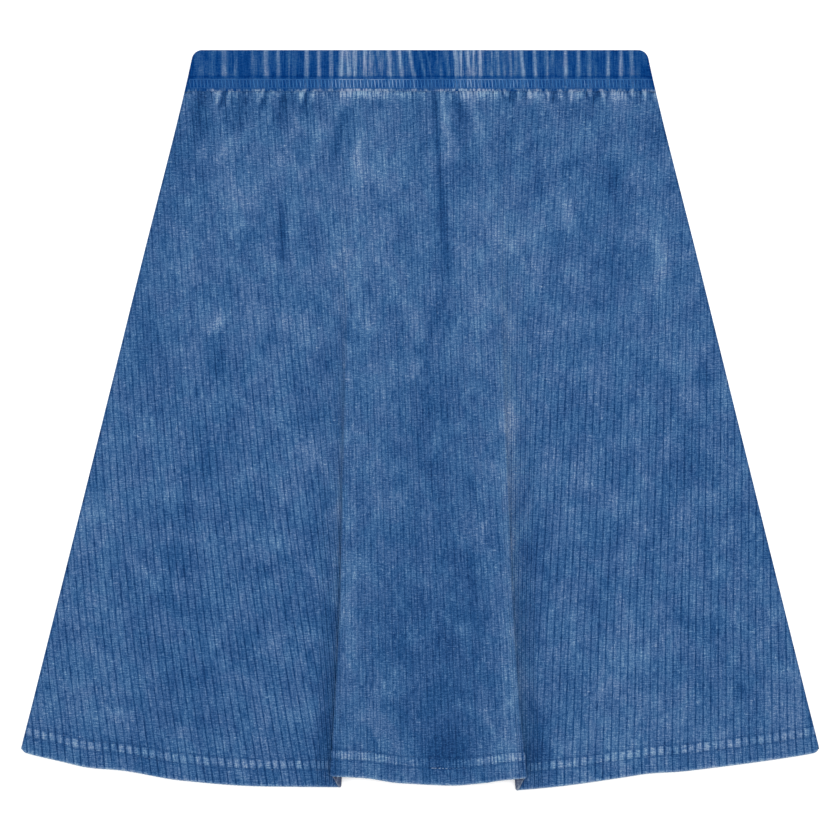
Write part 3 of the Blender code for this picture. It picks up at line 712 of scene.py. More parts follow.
def lay_row(row, columns, outer, front):
    """One row of a panel's outer or inner face: its points, what each knows, and each column's place in it.

    Columns that lie beyond a side seam share the seam's point.
    """
    section, value = read_section(row, front, columns)
    inside, up, in_fold = value["inside"], value["up"], value["in_fold"]
    out_x, out_z = value["out_x"], value["out_z"]
    half = row_cloth(row) / 2
    seam_z = read_row(SEAM_HEIGHTS, row_level(row))["front" if front else "back"]
    across, down = value["x"] / MM, value["down"] / MM
    at_edge = rounded(inside, EDGE_ROUND)

    if front:
        # The creases' shade is painted light on their ridges and painted shade in their troughs, partly the
        # wash's own wear
        height, shade = add_creases(FRONT_CREASES, across, down)
        lift = height * MM + SWELL_HEIGHT * soft_swell(across, down)
        lift = lift * ease((value["down"] - PANEL_TOP_DOWN) / FLAT_AT_SEAM) * ease(inside / FLAT_AT_SIDE)
        lift = lift * (1 - 0.8 * ease((FLAT_FROM_HEM - up) / FLAT_AT_SIDE))
        lift = np.where(in_fold == 0, lift, FOLD_CREASE_SHARE * lift)
        # The patches add the wash's own tone and the folds' painted highlights and painted shade
        shade = shade + wash_and_fold_shade(across, down)
    else:
        lift = 0 * across
        shade = 0.3 * (soft_swell(across + 40, down * 1.3) - 0.5)
    # Painted shade along the side seams' rounded edges
    shade = shade + hem_shade(up, columns) - 0.45 * bell(inside, EDGE_RIM)

    thick = half * (SEAM_WALL_SHARE + (1 - SEAM_WALL_SHARE) * at_edge)
    thick = thick * (0.3 + 0.7 * rounded(up, HEM_ROUND))
    crest_room = 0.0 if front else RIB_RELIEF
    off_middle = thick + (hem_relief(up) - crest_room) * at_edge if outer else -thick
    x = value["x"] + off_middle * out_x
    z = seam_z + (value["z"] + lift - seam_z) * at_edge + off_middle * out_z
    upright = out_z if front else np.abs(out_z)
    proud = (BEND_RELIEF + (1 - BEND_RELIEF) * ease(2 * upright - 1)) * ease(inside / RIBS_FADE)
    proud = proud * (0.5 + 0.5 * rounded(up, RIBS_HEM_ROUND)) * outer
    proud = proud * (1 - 0.45 * np.clip(row.hem / HEM_STEP, 0, 1) * (upright < 0.5))

    seam_points, seam_facts = [], []
    for seam in np.flatnonzero(section["inside"] > 0)[[0, -1]]:
        seam_down, out = section["down"][seam], section["out_z"][seam]
        seam_x = math.copysign(half_width(seam_down), section["x"][seam])
        rise = half * SEAM_WALL_SHARE * (out if outer else -out)
        seam_points.append(place(seam_x, seam_down, seam_z + rise).tolist())
        seam_ribs, seam_up = section["ribs"][seam], section["up"][seam]
        # The seam's points carry the seams' painted shade
        seam_facts.append((seam_ribs, seam_down, seam_up, SEAM_SHADE, 0.0, 0.0, outer))
    kept = np.flatnonzero(inside > EDGE_MARGIN)
    points = place(x, value["down"], z)[kept].tolist()
    facts = (columns, value["down"], up, shade, proud, gathered(across, down), outer + 0 * x)
    facts = np.stack(facts, axis=1)[kept].tolist()
    places = np.clip(np.arange(len(columns)) - kept[0] + 1, 0, len(kept) + 1)
    return seam_points[:1] + points + seam_points[1:], seam_facts[:1] + facts + seam_facts[1:], places


def fold_zones(rows):
    """The ribs that each fold turns over, from where it starts to tip down to the hem."""
    sections = [front_section(row) for row in rows if row_level(row) > 0.3][::6]
    zones = []
    for side in (-1, 1):
        turned = np.concatenate([section["ribs"][section["in_fold"] == side] for section in sections])
        zones.append((math.floor(turned.min()), math.ceil(turned.max()) - 1))
    return zones


def rib_columns(low, high, fine_zones, plain):
    """Columns over every rib, or one to each rib on the plain side. Folds get finer ones."""
    columns = []
    for rib in range(low, high):
        if any(start <= rib <= end for start, end in fine_zones):
            columns += [rib + part for part in (FOLD_RIB_COLUMNS[::2] if plain else FOLD_RIB_COLUMNS)]
        else:
            columns += [rib + part for part in (RIB_COLUMNS[:1] if plain else RIB_COLUMNS)]
    return np.array(columns + [high], float)


def add_face(faces, corners):
    """Adds a face without its doubled corners, or none where fewer than three are left."""
    ring = [int(corner) for i, corner in enumerate(corners) if corner != corners[i - 1]]
    if len(ring) >= 3:
        faces.append(ring)


def add_strips(faces, rows):
    """Adds the faces between rows of point numbers."""
    for upper, lower in zip(rows, rows[1:]):
        for quad in zip(upper[:-1], upper[1:], lower[1:], lower[:-1]):
            add_face(faces, quad)


def add_cap(faces, outer_row, outer_columns, inner_row, inner_columns):
    """Adds the faces that close the wall's top or hem, one to each step of the plain inner side."""
    at = np.searchsorted(outer_columns, inner_columns)
    for i in range(len(inner_columns) - 1):
        outer_part = list(outer_row[at[i] : at[i + 1] + 1])
        add_face(faces, outer_part + [inner_row[i + 1], inner_row[i]])


def add_object(name, data):
    """Puts a mesh, a light or a camera in the scene under a name."""
    made = bpy.data.objects.new(name, data)
    bpy.context.scene.collection.objects.link(made)
    return made


def add_fact(mesh, name, values):
    """One number or three for each point of a mesh, for its material or its nodes to read."""
    values = np.array(values, np.float32)
    kind, field = ("FLOAT", "value") if values.ndim == 1 else ("FLOAT_VECTOR", "vector")
    mesh.attributes.new(name, kind, "POINT").data.foreach_set(field, values.ravel())


def close_mesh(name, points, faces, facts):
    """A closed mesh of triangles with its faces turned outwards, and what its points know as attributes.

    A fact is ribs, down, up, shade, proud, gathers and outer.
    """
    mesh = bpy.data.meshes.new(name)
    mesh.from_pydata(points, [], faces)
    facts = np.array(facts, float)
    add_fact(mesh, "cloth", facts[:, :3])
    for column, fact in enumerate(("wash", "proud", "gathers", "outer"), 3):
        add_fact(mesh, fact, facts[:, column])
    work = bmesh.new()
    work.from_mesh(mesh)
    bmesh.ops.recalc_face_normals(work, faces=work.faces)
    bmesh.ops.triangulate(work, faces=work.faces)
    for face in work.faces:
        face.smooth = True
    work.to_mesh(mesh)
    work.free()
    return mesh


def fill(tree, node, inputs):
    """Sets a node's inputs: each is a Number, another node's output or a plain value."""
    for name, value in inputs.items():
        value = value.socket if isinstance(value, Number) else value
        if isinstance(value, bpy.types.NodeSocket):
            tree.links.new(value, node.inputs[name])
        else:
            node.inputs[name].default_value = value


def add_node(tree, kind, inputs, **settings):
    """A node with its settings and inputs."""
    node = tree.nodes.new(kind)
    for name, value in settings.items():
        setattr(node, name, value)
    fill(tree, node, inputs)
    return node


def output(tree, kind, inputs, out=0, **settings):
    """One output of a new node, its first unless another is named."""
    return add_node(tree, kind, inputs, **settings).outputs[out]


class Number:
    """A number in a node tree: each operation on it adds a node."""

    def __init__(self, tree, socket):
        self.tree = tree
        self.socket = socket

    def do(self, operation, *others):
        inputs = dict(enumerate((self, *others)))
        return Number(self.tree, output(self.tree, "ShaderNodeMath", inputs, operation=operation))

    def __add__(self, other):
        return self.do("ADD", other)

    def __radd__(self, other):
        return Number(self.tree, other) + self

    def __sub__(self, other):
        return self.do("SUBTRACT", other)

    def __rsub__(self, other):
        return Number(self.tree, other) - self

    def __mul__(self, other):
        return self.do("MULTIPLY", other)

    def window(self, low, high):
        """0 up to low and 1 from high on, smoothly."""
        inputs = {"Value": self, "From Min": low, "From Max": high}
        smooth = output(self.tree, "ShaderNodeMapRange", inputs, interpolation_type="SMOOTHSTEP")
        return Number(self.tree, smooth)


def groove_and_middle(ribs):
    """How far into the groove between two ribs a rib count is, and how far onto a rib's faint middle line."""
    off_crest = (ribs.do("FRACT") - 0.5).do("ABSOLUTE")
    return off_crest.window(0.33, 0.5), 1.0 - off_crest.window(0.0, 0.12)


def new_tree(name, **labels):
    """A Geometry Nodes tree with a geometry and named inputs by their kinds, what it's given, and its end."""
    tree = bpy.data.node_groups.new(name, "GeometryNodeTree")
    tree.interface.new_socket("Geometry", in_out="INPUT", socket_type="NodeSocketGeometry")
    for kind in labels:
        for label in labels[kind]:
            tree.interface.new_socket(label, in_out="INPUT", socket_type="NodeSocket" + kind)
    tree.interface.new_socket("Geometry", in_out="OUTPUT", socket_type="NodeSocketGeometry")
    return tree, tree.nodes.new("NodeGroupInput").outputs, tree.nodes.new("NodeGroupOutput").inputs[0]


def read_fact(tree, name, kind="FLOAT"):
    """What each point knows under a name."""
    return output(tree, "GeometryNodeInputNamedAttribute", {"Name": name}, data_type=kind)


def rib_tree():
    """Raises knitted ribs on a panel's outer face and gives both faces their materials."""
    tree, given, end = new_tree(
        "Knitted ribs", Float=("Rib height", "Middle line depth"), Material=("Face", "Wrong side")
    )
    cloth = add_node(tree, "ShaderNodeSeparateXYZ", {0: read_fact(tree, "cloth", "FLOAT_VECTOR")})
    groove, middle = groove_and_middle(Number(tree, cloth.outputs[0]))
    height = (1.0 - groove) * given["Rib height"] - middle * given["Middle line depth"]
    height = height * read_fact(tree, "proud")
    normal = output(tree, "GeometryNodeInputNormal", {})
    offset = output(tree, "ShaderNodeVectorMath", {0: normal, "Scale": height}, operation="SCALE")
    moved = output(tree, "GeometryNodeSetPosition", {0: given["Geometry"], "Offset": offset})
    real = output(tree, "GeometryNodeRealizeInstances", {0: moved})
    wrong = output(tree, "GeometryNodeSetMaterial", {0: real, "Material": given["Wrong side"]})
    compared = {0: read_fact(tree, "outer"), 1: 0.5}
    outer = output(tree, "FunctionNodeCompare", compared, operation="GREATER_THAN")
    right_side = {0: wrong, "Selection": outer, "Material": given["Face"]}
    tree.links.new(output(tree, "GeometryNodeSetMaterial", right_side), end)
    return tree


def stitch_tree():
    """Lays a short arched thread on every point, turned and stretched as the point says."""
    tree, given, end = new_tree(
        "Stitches", Float=("Stitch length", "Thread width", "Arch"), Material=("Thread",)
    )
    half = Number(tree, given["Stitch length"]) * 0.5
    width = Number(tree, given["Thread width"])
    sunk = width * -0.4
    start = output(tree, "ShaderNodeCombineXYZ", {0: half * -1.0, 2: sunk})
    top = output(tree, "ShaderNodeCombineXYZ", {2: given["Arch"]})
    stop = output(tree, "ShaderNodeCombineXYZ", {0: half, 2: sunk})
    arch = {"Resolution": 5, "Start": start, "Middle": top, "End": stop}
    line = output(tree, "GeometryNodeCurveQuadraticBezier", arch)
    ring = output(tree, "GeometryNodeCurvePrimitiveCircle", {"Resolution": 6, "Radius": width * 0.5})
    swept = {"Curve": line, "Profile Curve": ring, "Fill Caps": True}
    laid = {
        "Points": given["Geometry"],
        "Instance": output(tree, "GeometryNodeCurveToMesh", swept),
        "Rotation": output(tree, "FunctionNodeEulerToRotation", {0: read_fact(tree, "turn", "FLOAT_VECTOR")}),
        "Scale": read_fact(tree, "stretch", "FLOAT_VECTOR"),
    }
    copies = output(tree, "GeometryNodeInstanceOnPoints", laid)
    real = output(tree, "GeometryNodeRealizeInstances", {0: copies})
    painted = output(tree, "GeometryNodeSetMaterial", {0: real, "Material": given["Thread"]})
    tree.links.new(painted, end)
    return tree


def grow(name, mesh, tree, values):
    """A new object whose plain mesh is what a Geometry Nodes tree makes of the given one."""
    made = add_object(name, mesh)
    modifier = made.modifiers.new(tree.name, "NODES")
    modifier.node_group = tree
    for item in tree.interface.items_tree:
        if item.in_out == "INPUT" and item.name in values:
            modifier[item.identifier] = values[item.name]
    graph = bpy.context.evaluated_depsgraph_get()
    result = bpy.data.meshes.new_from_object(
        made.evaluated_get(graph), preserve_all_data_layers=True, depsgraph=graph
    )
    made.modifiers.remove(modifier)
    made.data = result
    bpy.data.meshes.remove(mesh)
    result.name = name
    for polygon in result.polygons:
        polygon.use_smooth = True
    return made


def new_material(name):
    """A material, its node tree and its shader."""
    material = bpy.data.materials.new(name)
    material.use_nodes = True
    return material, material.node_tree, material.node_tree.nodes["Principled BSDF"]


def linear(colour):
    """A colour of a screen, 0 to 255, as the light it stands for."""
    light = [(part / 255 + 0.055) / 1.055 for part in colour]
    return (*(part**2.4 for part in light), 1.0)


def dye_ramp(tree, tone, dye):
    """Colours a tone from 0 to 1 with a dye's table."""
    ramp = add_node(tree, "ShaderNodeValToRGB", {"Fac": tone}, label="Dye")
    elements = ramp.color_ramp.elements
    elements[0].position, elements[0].color = dye[0][0], linear(dye[0][1])
    elements[1].position, elements[1].color = dye[-1][0], linear(dye[-1][1])
    for position, colour in dye[1:-1]:
        elements.new(position).color = linear(colour)
    return ramp.outputs["Color"]


def noise(tree, where, across, down, turn, shift, scale, detail, roughness, distortion):
    """Smooth noise about 0, drawn out across and down, turned and moved, so many lumps to the metre."""
    mapped = {"Vector": where, "Location": (shift,) * 3, "Rotation": (0, 0, turn), "Scale": (across, down, 1)}
    settings = {"Scale": scale, "Detail": detail, "Roughness": roughness, "Distortion": distortion}
    settings["Vector"] = output(tree, "ShaderNodeMapping", mapped)
    return Number(tree, output(tree, "ShaderNodeTexNoise", settings)) - 0.5


def read_look(tree, name, out="Fac"):
    """What each point of the cloth knows under a name, in its material."""
    return Number(tree, output(tree, "ShaderNodeAttribute", {}, out, attribute_name=name))


def dress_shader(tree, shader, colour, height, roughness, specular):
    """Gives a shader its colour, its bump's height in metres, its roughness and its shine."""
    bump = output(tree, "ShaderNodeBump", {"Strength": 1.0, "Distance": 1.0, "Height": height})
    look = {"Base Color": colour, "Normal": bump, "Roughness": roughness, "Specular IOR Level": specular}
    fill(tree, shader, look)


def knit_material(
    name,
    dye,
    tone,
    seed,
    rib_pitch=RIB_PITCH,
    groove_depth=0.165,
    middle_depth=0.075,
    patchy=1.0,
    grainy=1.0,
    washed=0.42,
):
    """Washed rib knit: cloudy and streaky dye, dark between the ribs, with the courses of its loops, and the
    painted light and shade that its points carry.
    """
    material, tree, shader = new_material(name)
    cloth = add_node(tree, "ShaderNodeSeparateXYZ", {0: read_look(tree, "cloth", "Vector")})
    ribs, down, up = (Number(tree, socket) for socket in cloth.outputs)
    flat = output(tree, "ShaderNodeCombineXYZ", {0: ribs * rib_pitch, 1: down, 2: seed})
    by_rib = {0: (ribs * 2.0).do("FLOOR") * 0.43, 1: down * 26.0, 2: seed + 3.0}
    rib_tone = noise(tree, output(tree, "ShaderNodeCombineXYZ", by_rib), *RIB_NOISE)
    noises = {one.name: noise(tree, flat, *one[1:9]) for one in KNIT_NOISES}

    groove, middle = groove_and_middle(ribs)
    beyond_folds = ribs.do("ABSOLUTE").window(13.0, 18.0) * down.window(0.12, 0.27)
    in_hem = 1.0 - up.window(0.0090, 0.0108)
    open_share = 1.0 + beyond_folds * 0.75 + in_hem * 0.35
    lines = groove * groove_depth * open_share + middle * middle_depth
    course = (down * (2 * math.pi / COURSE)).do("SINE")
    value = tone + rib_tone * RIB_TONE + noises["scuffs"].window(0.20, 0.30) * (SCUFF_TONE * patchy)
    for one in KNIT_NOISES:
        if one.patches or one.grains:
            value = value + noises[one.name] * (one.patches * patchy + one.grains * grainy)
    # The points' wash fact holds the wash's patches together with painted light and shade on creases, folds
    # and seams
    value = value + course * (COURSE_TONE * grainy) + read_look(tree, "wash") * washed
    value = value + read_look(tree, "gathers") * (noises["frills"].window(-0.10, 0.10) * 1.1 - 0.22)
    value = value - lines * (1.0 + noises["worn"] * 1.3)
    tints = {0: noises["hue"].window(-0.13, 0.13), 6: TEAL_TINT, 7: VIOLET_TINT}
    tint = output(tree, "ShaderNodeMix", tints, 2, data_type="RGBA")
    tinted = {0: 1.0, 6: dye_ramp(tree, value, dye), 7: tint}
    colour = output(tree, "ShaderNodeMix", tinted, 2, data_type="RGBA", blend_type="MULTIPLY")

    across_loop = (ribs * 4.0).do("FRACT") - 0.5
    loop_lean = across_loop.do("ABSOLUTE") * 1.2
    loop = ((down * (1 / COURSE) + loop_lean) * (2 * math.pi)).do("SINE")
    yarn = 1.0 - across_loop.do("POWER", 2.0) * 4.0
    height = loop * yarn * 0.000030 + yarn * 0.000045 + noises["grain"] * 0.00008 + noises["dashes"] * 0.00012
    height = height - groove * 0.00010 - middle * 0.00008
    dress_shader(tree, shader, colour, height, 0.88 + noises["clouds"] * 0.10 + groove * 0.06, 0.0)
    return material


def thread_material(name, dye, tone, seed):
    """Twisted sewing thread, washed with the skirt."""
    material, tree, shader = new_material(name)
    where = output(tree, "ShaderNodeTexCoord", {}, "Object")
    worn = noise(tree, where, 1, 1, 0, seed, 170, 2, 0.5, 0)
    ply = noise(tree, where, 1, 0.6, 0.6, seed, 5200, 1, 0.5, 0)
    value = tone + worn * 0.5 + read_look(tree, "wash") * 0.4
    dress_shader(tree, shader, dye_ramp(tree, value, dye), ply * 0.00012, 0.62 + worn * 0.2, 0.1)
    return material


def make_panel(name, front, face, wrong_side, tree):
    """A whole panel of rib knit, from the waist seam to the turned-up hem."""
    rows = panel_rows()
    section, _ = read_section(rows[-1], front)
    reached = section["ribs"][section["inside"] > 0]
    low, high = math.floor(reached[0]), math.ceil(reached[-1])
    zones = fold_zones(rows) if front else []
    columns = [rib_columns(low, high, zones, plain) for plain in (False, True)]
    faces, points, facts, sides = [], [], [], []
    for outer, side_columns in zip((1, 0), columns):
        side = []
        for row in rows:
            row_points, row_facts, places = lay_row(row, side_columns, outer, front)
            side.append(places + len(points))
            points += row_points
            facts += row_facts
        add_strips(faces, side)
        sides.append(side)
    for end in (0, -1):
        add_cap(faces, sides[0][end], columns[0], sides[1][end], columns[1])
        add_strips(faces, [(above[end], below[end]) for above, below in zip(*sides)])
    ribbed = {"Rib height": RIB_RELIEF, "Middle line depth": MIDDLE_LINE_DEPTH}
    mesh = close_mesh(name, points, faces, facts)
    return grow(name, mesh, tree, {**ribbed, "Face": face, "Wrong side": wrong_side})


def back_ridges():
    """The ridges of the casing's back, which nothing shows, so they fall as the front's do."""
    chance = np.random.default_rng(BACK_RIDGE_SEED)
    across = -WAIST_WIDTH / 2 / MM + 5
    ridges = []
    while across < WAIST_WIDTH / 2 / MM - 4:
        ridges.append((across, chance.uniform(0.9, 1.8), chance.uniform(0.3, 1.0), chance.uniform(-1, 2)))
        across += BACK_RIDGE_STEP * chance.uniform(0.7, 1.3)
    return table(RIDGE, *ridges)


def band_ridges(ridges, across, down):
    """How far a casing's ridges stand out, and how pale they are, both from 0 to 1, in millimetres."""
    rise = np.zeros(np.shape(across))
    pale = np.zeros(np.shape(across))
    for ridge in ridges:
        off = across - ridge.across - ridge.lean * (np.minimum(down, 18) / 16 - 0.5)
        rise = np.maximum(rise, (0.4 + 0.6 * ridge.pale) * bell(off, 1.25 * ridge.width))
        pale = np.maximum(pale, ridge.pale * bell(off, 1.05 * ridge.width, 3))
    for middle, reach, share in BAND_ZONES:
        pale = pale + share * (1 - ease((np.abs(across - middle) - reach + 2) / 4)) * (1 - 0.5 * pale)
    return rise, pale


def band_down(down, share):
    """How far down a line of the casing lies at a place across, -1 to 1: its two top corners are round."""
    short = BAND_CORNER - np.minimum(BAND_CORNER, (1 - np.abs(share)) * WAIST_WIDTH / 2)
    top = BAND_CORNER - np.sqrt(BAND_CORNER**2 - short**2)
    return top + down * (BAND_DEPTH - top) / BAND_DEPTH


def band_rise(ridges, across, line_down, front):
    """The outer face's height over the band's plain inner side, and its shade."""
    height = BAND_THICKNESS * read_column(BAND_OUTSIDE, "height", line_down)
    fullness = read_column(BAND_OUTSIDE, "fullness", line_down)
    rise, pale = band_ridges(ridges, across / MM, line_down / MM)
    stitched = plateau(line_down, 0.0162, 0.001, BAND_STITCHED_DOWN, 0.0008)
    ticks = BAND_TICK_HEIGHT * stitched * np.cos(2 * math.pi * across / WAIST_STITCH)
    full = BAND_RIDGE_HEIGHT * (rise - 0.25) * fullness + ticks
    if not front:
        full = full - 0.75 * BAND_RIDGE_HEIGHT * fullness
    below = ease((line_down - BAND_STITCHED_DOWN) / 0.0010)
    casing = (1 - stitched) * (1 - below)
    drawn = add_creases(FRONT_CREASES, across / MM, line_down / MM)[1] * below if front else 0.0
    shade = casing * (1.08 * pale - 0.47) + stitched * (0.40 * pale - 0.32)
    # Painted shadow in the dip below the casing's bulge, and the creases' painted light and shade on the
    # strip below the stitching
    return height + full, shade - 0.35 * bell(line_down - 0.0165, 0.0005) + 0.7 * drawn


def make_band(name, front, ridges, face, wrong_side, tree):
    """Half of the casing, gathered on its elastic: ridged outside, plain inside."""
    count = 2 * round(WAIST_WIDTH / 2 / BAND_COLUMN_STEP) + 1
    ends = 1 - np.array(BAND_END_SHARES)
    shares = np.unique(np.concatenate([np.linspace(-1, 1, count), ends, -ends]))
    inside = (1 - np.abs(shares)) * WAIST_WIDTH / 2
    seam_z = BAND_THICKNESS + SEAM_GAP / 2
    points, facts, rings = [], [], []
    lines = [(1, down) for down in BAND_OUTSIDE_DOWNS] + [(0, down) for down in BAND_INSIDE_DOWNS]
    for outer, line_down in lines:
        line_down = line_down * MM
        down = band_down(line_down, shares)
        x = shares * half_width(down)
        if outer:
            rise, shade = band_rise(ridges, x, line_down + 0 * x, front)
        else:
            rise = 0 * x + (0.42 * BAND_THICKNESS * (1 - rounded(line_down, BAND_TOP_ROUND)))
            shade = 0 * x
        z = BAND_THICKNESS + SEAM_GAP + rise if front else BAND_THICKNESS - rise
        z = seam_z + (z - seam_z) * (0.04 + 0.96 * rounded(inside, BAND_SIDE_ROUND))
        # Painted shade at the casing's ends, where it rounds over at the side seams
        shade = shade + SEAM_SHADE * bell(inside, 0.0015)
        rings.append(np.arange(len(x)) + len(points))
        points += place(x, down, z).tolist()
        gathers = gathered(x / MM, line_down / MM)
        known = (x / BAND_RIB_PITCH, down, BAND_DEPTH - down, shade, 0 * x, gathers, outer + 0 * x)
        facts += np.stack(known, axis=1).tolist()
    faces = []
    add_strips(faces, rings + rings[:1])
    for end in (0, -1):
        add_face(faces, [ring[end] for ring in rings])
    ribless = {"Rib height": 0.0, "Middle line depth": 0.0}
    mesh = close_mesh(name, points, faces, facts)
    return grow(name, mesh, tree, {**ribless, "Face": face, "Wrong side": wrong_side})


def sew(name, rows, stitch, thread, material, tree):
    """Stitches in rows: each has their starts, ends, middles, normals, thickness and wash."""
    starts, ends, places, normals, thick, wash = (np.concatenate(column) for column in zip(*rows))
    along = ends - starts
    turns = []
    for run, up in zip(along, normals):
        run = Vector(run).normalized()
        up = (Vector(up) - run * run.dot(Vector(up))).normalized()
        turns.append(tuple(Matrix((run, up.cross(run), up)).transposed().to_euler()))
    mesh = bpy.data.meshes.new(name)
    mesh.from_pydata(places.tolist(), [], [])
    stretch = np.linalg.norm(along, axis=1) / stitch
    add_fact(mesh, "turn", turns)
    add_fact(mesh, "stretch", np.stack([stretch, thick, thick], axis=1))
    add_fact(mesh, "wash", wash)
    values = {"Stitch length": stitch, "Thread width": thread, "Arch": STITCH_ARCH, "Thread": material}
    return grow(name, mesh, tree, values)


def face_line(row, ribs, front):
    """Points on a panel's outer face along a row, at rib counts, with the face's normals."""
    _, value = read_section(row, front, ribs)
    groove = ease((np.abs((ribs % 1) - 0.5) - 0.26) / 0.24)
    crest_room = 0.0 if front else RIB_RELIEF
    off = row_cloth(row) / 2 - crest_room + hem_relief(value["up"]) + 0.9 * RIB_RELIEF * (1 - groove)
    x = value["x"] + off * value["out_x"]
    z = value["z"] + off * value["out_z"]
    return place(x, value["down"], z), np.stack([value["out_x"], 0 * x, value["out_z"]], axis=1)


def make_hem_stitches(name, front, material, tree):
    """Two rows of needle thread along a hem, through every fold."""
    chance = np.random.default_rng(HEM_SEEDS[front])
    pitch = HEM_STITCH / RIB_PITCH
    rows = []
    for up in HEM_NEEDLE_ROWS:
        row = PanelRow(1.0, (HEM_DEPTH - up) / HEM_DEPTH)
        section, _ = read_section(row, front)
        reached = section["ribs"][section["inside"] > STITCH_FROM_SIDE]
        ribs = np.arange(reached[0] + pitch / 2, reached[-1] - pitch / 2, pitch)
        middle, normals = face_line(row, ribs, front)
        start, _ = face_line(row, ribs - STITCH_HALF * pitch, front)
        end, _ = face_line(row, ribs + STITCH_HALF * pitch, front)
        loose = np.abs(middle[:, 0] - LOOSE_THREAD_ACROSS) < LOOSE_THREAD_REACH
        wash = 1.3 * (front * (up == HEM_NEEDLE_ROWS[1]) * loose) + chance.uniform(-0.3, 0.3, len(ribs))
        rows.append((start, end, (start + end) / 2 * 0.5 + middle * 0.5, normals, 0 * ribs + 1, wash))
    return sew(name, rows, HEM_STITCH, HEM_THREAD, material, tree)


def make_waist_stitches(name, front, ridges, material, tree):
    """The cover stitch below the casing: two needle rows, and the looper thread to and fro between them."""
    chance = np.random.default_rng(WAIST_SEEDS[front])
    edge = half_width(0.020) - 0.0022
    x = np.arange(-edge, edge, WAIST_STITCH)
    normals = np.tile([0.0, 0.0, 1.0 if front else -1.0], (len(x), 1))

    def on_band(share, down):
        across = x + share * WAIST_STITCH
        rise, _ = band_rise(ridges, across, down + 0 * x, front)
        _, pale = band_ridges(ridges, across / MM, (down + 0 * x) / MM)
        z = BAND_THICKNESS + SEAM_GAP + rise if front else BAND_THICKNESS - rise
        return place(across, down + 0 * x, z), np.convolve(pale, np.ones(7) / 7, "same")

    def add_stitches(start, end, thick, wash):
        rows.append((start, end, (start + end) / 2 + STITCH_LIFT * normals, normals, thick, wash))

    rows = []
    for down, paleness in zip(WAIST_NEEDLE_ROWS, WAIST_ROW_PALENESS):
        start, pale = on_band(0, down)
        end, _ = on_band(WAIST_STITCH_SHARE, down)
        add_stitches(start, end, 0.9 + 0 * x, paleness * pale - 0.2 + chance.uniform(-0.2, 0.2, len(x)))
    for leg in LOOPER_LEGS:
        start, pale = on_band(leg.start, WAIST_NEEDLE_ROWS[0] + LOOPER_INSET)
        end, _ = on_band(leg.end, WAIST_NEEDLE_ROWS[1] - LOOPER_INSET)
        wash = 1.9 * pale - 0.4 + leg.pale + chance.uniform(-0.15, 0.2, len(x))
        add_stitches(start, end, leg.thick * chance.uniform(0.85, 1.15, len(x)), wash)
    return sew(name, rows, WAIST_STITCH, WAIST_THREAD, material, tree)


def make_floor():
    """A plain pale floor that isn't part of the skirt."""
    half = FLOOR_SIZE / 2
    corners = [(-half, -half, 0.0), (half, -half, 0.0), (half, half, 0.0), (-half, half, 0.0)]
    mesh = bpy.data.meshes.new("floor")
    mesh.from_pydata(corners, [], [(0, 1, 2, 3)])
    material, tree, shader = new_material("pale_floor")
    fill(tree, shader, FLOOR_LOOK)
    mesh.materials.append(material)
    floor = add_object("floor", mesh)
    floor.location.z = FLOOR_HEIGHT


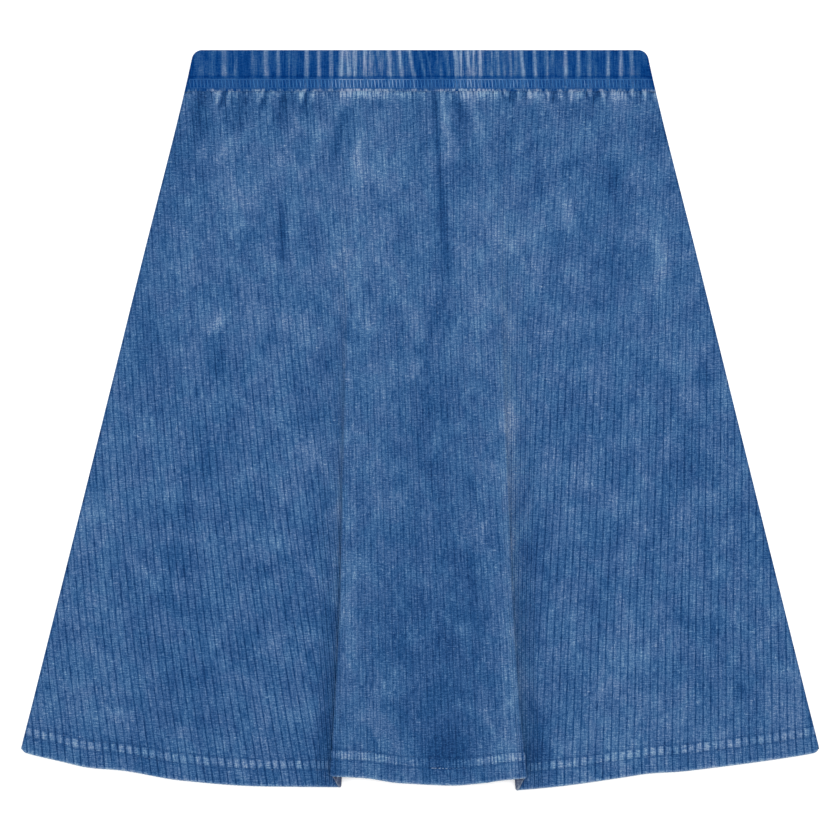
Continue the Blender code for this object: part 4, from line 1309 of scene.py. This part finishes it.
def make_studio():
    """Floor, soft light and the camera that looks straight down on the skirt."""
    make_floor()
    for light in LIGHTS:
        lamp = bpy.data.lights.new(light.name, "AREA")
        lamp.shape = "SQUARE"
        lamp.size = light.size
        lamp.energy = light.power
        made = add_object(light.name, lamp)
        made.location = light.place
        made.rotation_euler = (-Vector(light.place)).to_track_quat("-Z", "Y").to_euler()
    world = bpy.data.worlds.new("studio")
    world.use_nodes = True
    background = world.node_tree.nodes["Background"]
    fill(world.node_tree, background, {"Color": (1.0, 1.0, 1.0, 1.0), "Strength": SKY_STRENGTH})
    bpy.context.scene.world = world
    bpy.context.scene.view_settings.view_transform = "Standard"

    camera = bpy.data.cameras.new("camera")
    camera.lens = LENS
    camera.sensor_width = SENSOR
    camera.clip_start, camera.clip_end = 0.01, 100.0
    made = add_object("camera", camera)
    made.location = (LOOK_AT[0], LOOK_AT[1], LOOK_AT[2] + SCENE_WIDTH / 2 / (SENSOR / 2 / LENS))
    bpy.context.scene.camera = made


make_studio()
ribs = rib_tree()
stitches = stitch_tree()
face_knit = knit_material("washed_rib_knit", FACE_DYE, tone=0.475, seed=0.0)
back_knit = knit_material("washed_rib_knit_back", FACE_DYE, tone=0.475, seed=4.0)
wrong_side = knit_material(
    "knit_wrong_side", WRONG_SIDE_DYE, tone=0.45, seed=8.0, groove_depth=-0.10, middle_depth=0.0, patchy=0.6
)
band_look = {"rib_pitch": BAND_RIB_PITCH, "groove_depth": 0.05, "middle_depth": 0.04}
band_look.update(patchy=0.8, grainy=0.5, washed=0.52)
band_knit = knit_material("washed_casing_knit", BAND_DYE, tone=0.44, seed=12.0, **band_look)
waist_thread = thread_material("waist_thread", THREAD_DYE, tone=0.27, seed=1.0)
hem_thread = thread_material("hem_thread", HEM_THREAD_DYE, tone=0.45, seed=2.0)

FRONT_CREASES = LONG_CREASES + all_puckers()
rear_ridges = back_ridges()
front_cloth = make_panel("front_cloth", True, face_knit, wrong_side, ribs)
back_cloth = make_panel("back_cloth", False, back_knit, wrong_side, ribs)
front_band = make_band("front_casing", True, BAND_RIDGES, band_knit, wrong_side, ribs)
back_band = make_band("back_casing", False, rear_ridges, band_knit, wrong_side, ribs)
front_hem_thread = make_hem_stitches("front_hem_stitches", True, hem_thread, stitches)
back_hem_thread = make_hem_stitches("back_hem_stitches", False, hem_thread, stitches)
front_waist_thread = make_waist_stitches("front_waist_stitches", True, BAND_RIDGES, waist_thread, stitches)
back_waist_thread = make_waist_stitches("back_waist_stitches", False, rear_ridges, waist_thread, stitches)

for piece, node, slot_name in (
    (front_cloth, "front_panel", "front_knit"),
    (back_cloth, "back_panel", "back_knit"),
    (front_band, "waistband_front", "front_band_knit"),
    (back_band, "waistband_back", "back_band_knit"),
):
    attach(piece, "root")
    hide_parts(node)
for piece, slot_name in (
    (front_hem_thread, "front_knit"),
    (back_hem_thread, "back_knit"),
    (front_waist_thread, "front_band_knit"),
    (back_waist_thread, "back_band_knit"),
):
    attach(piece, "root")
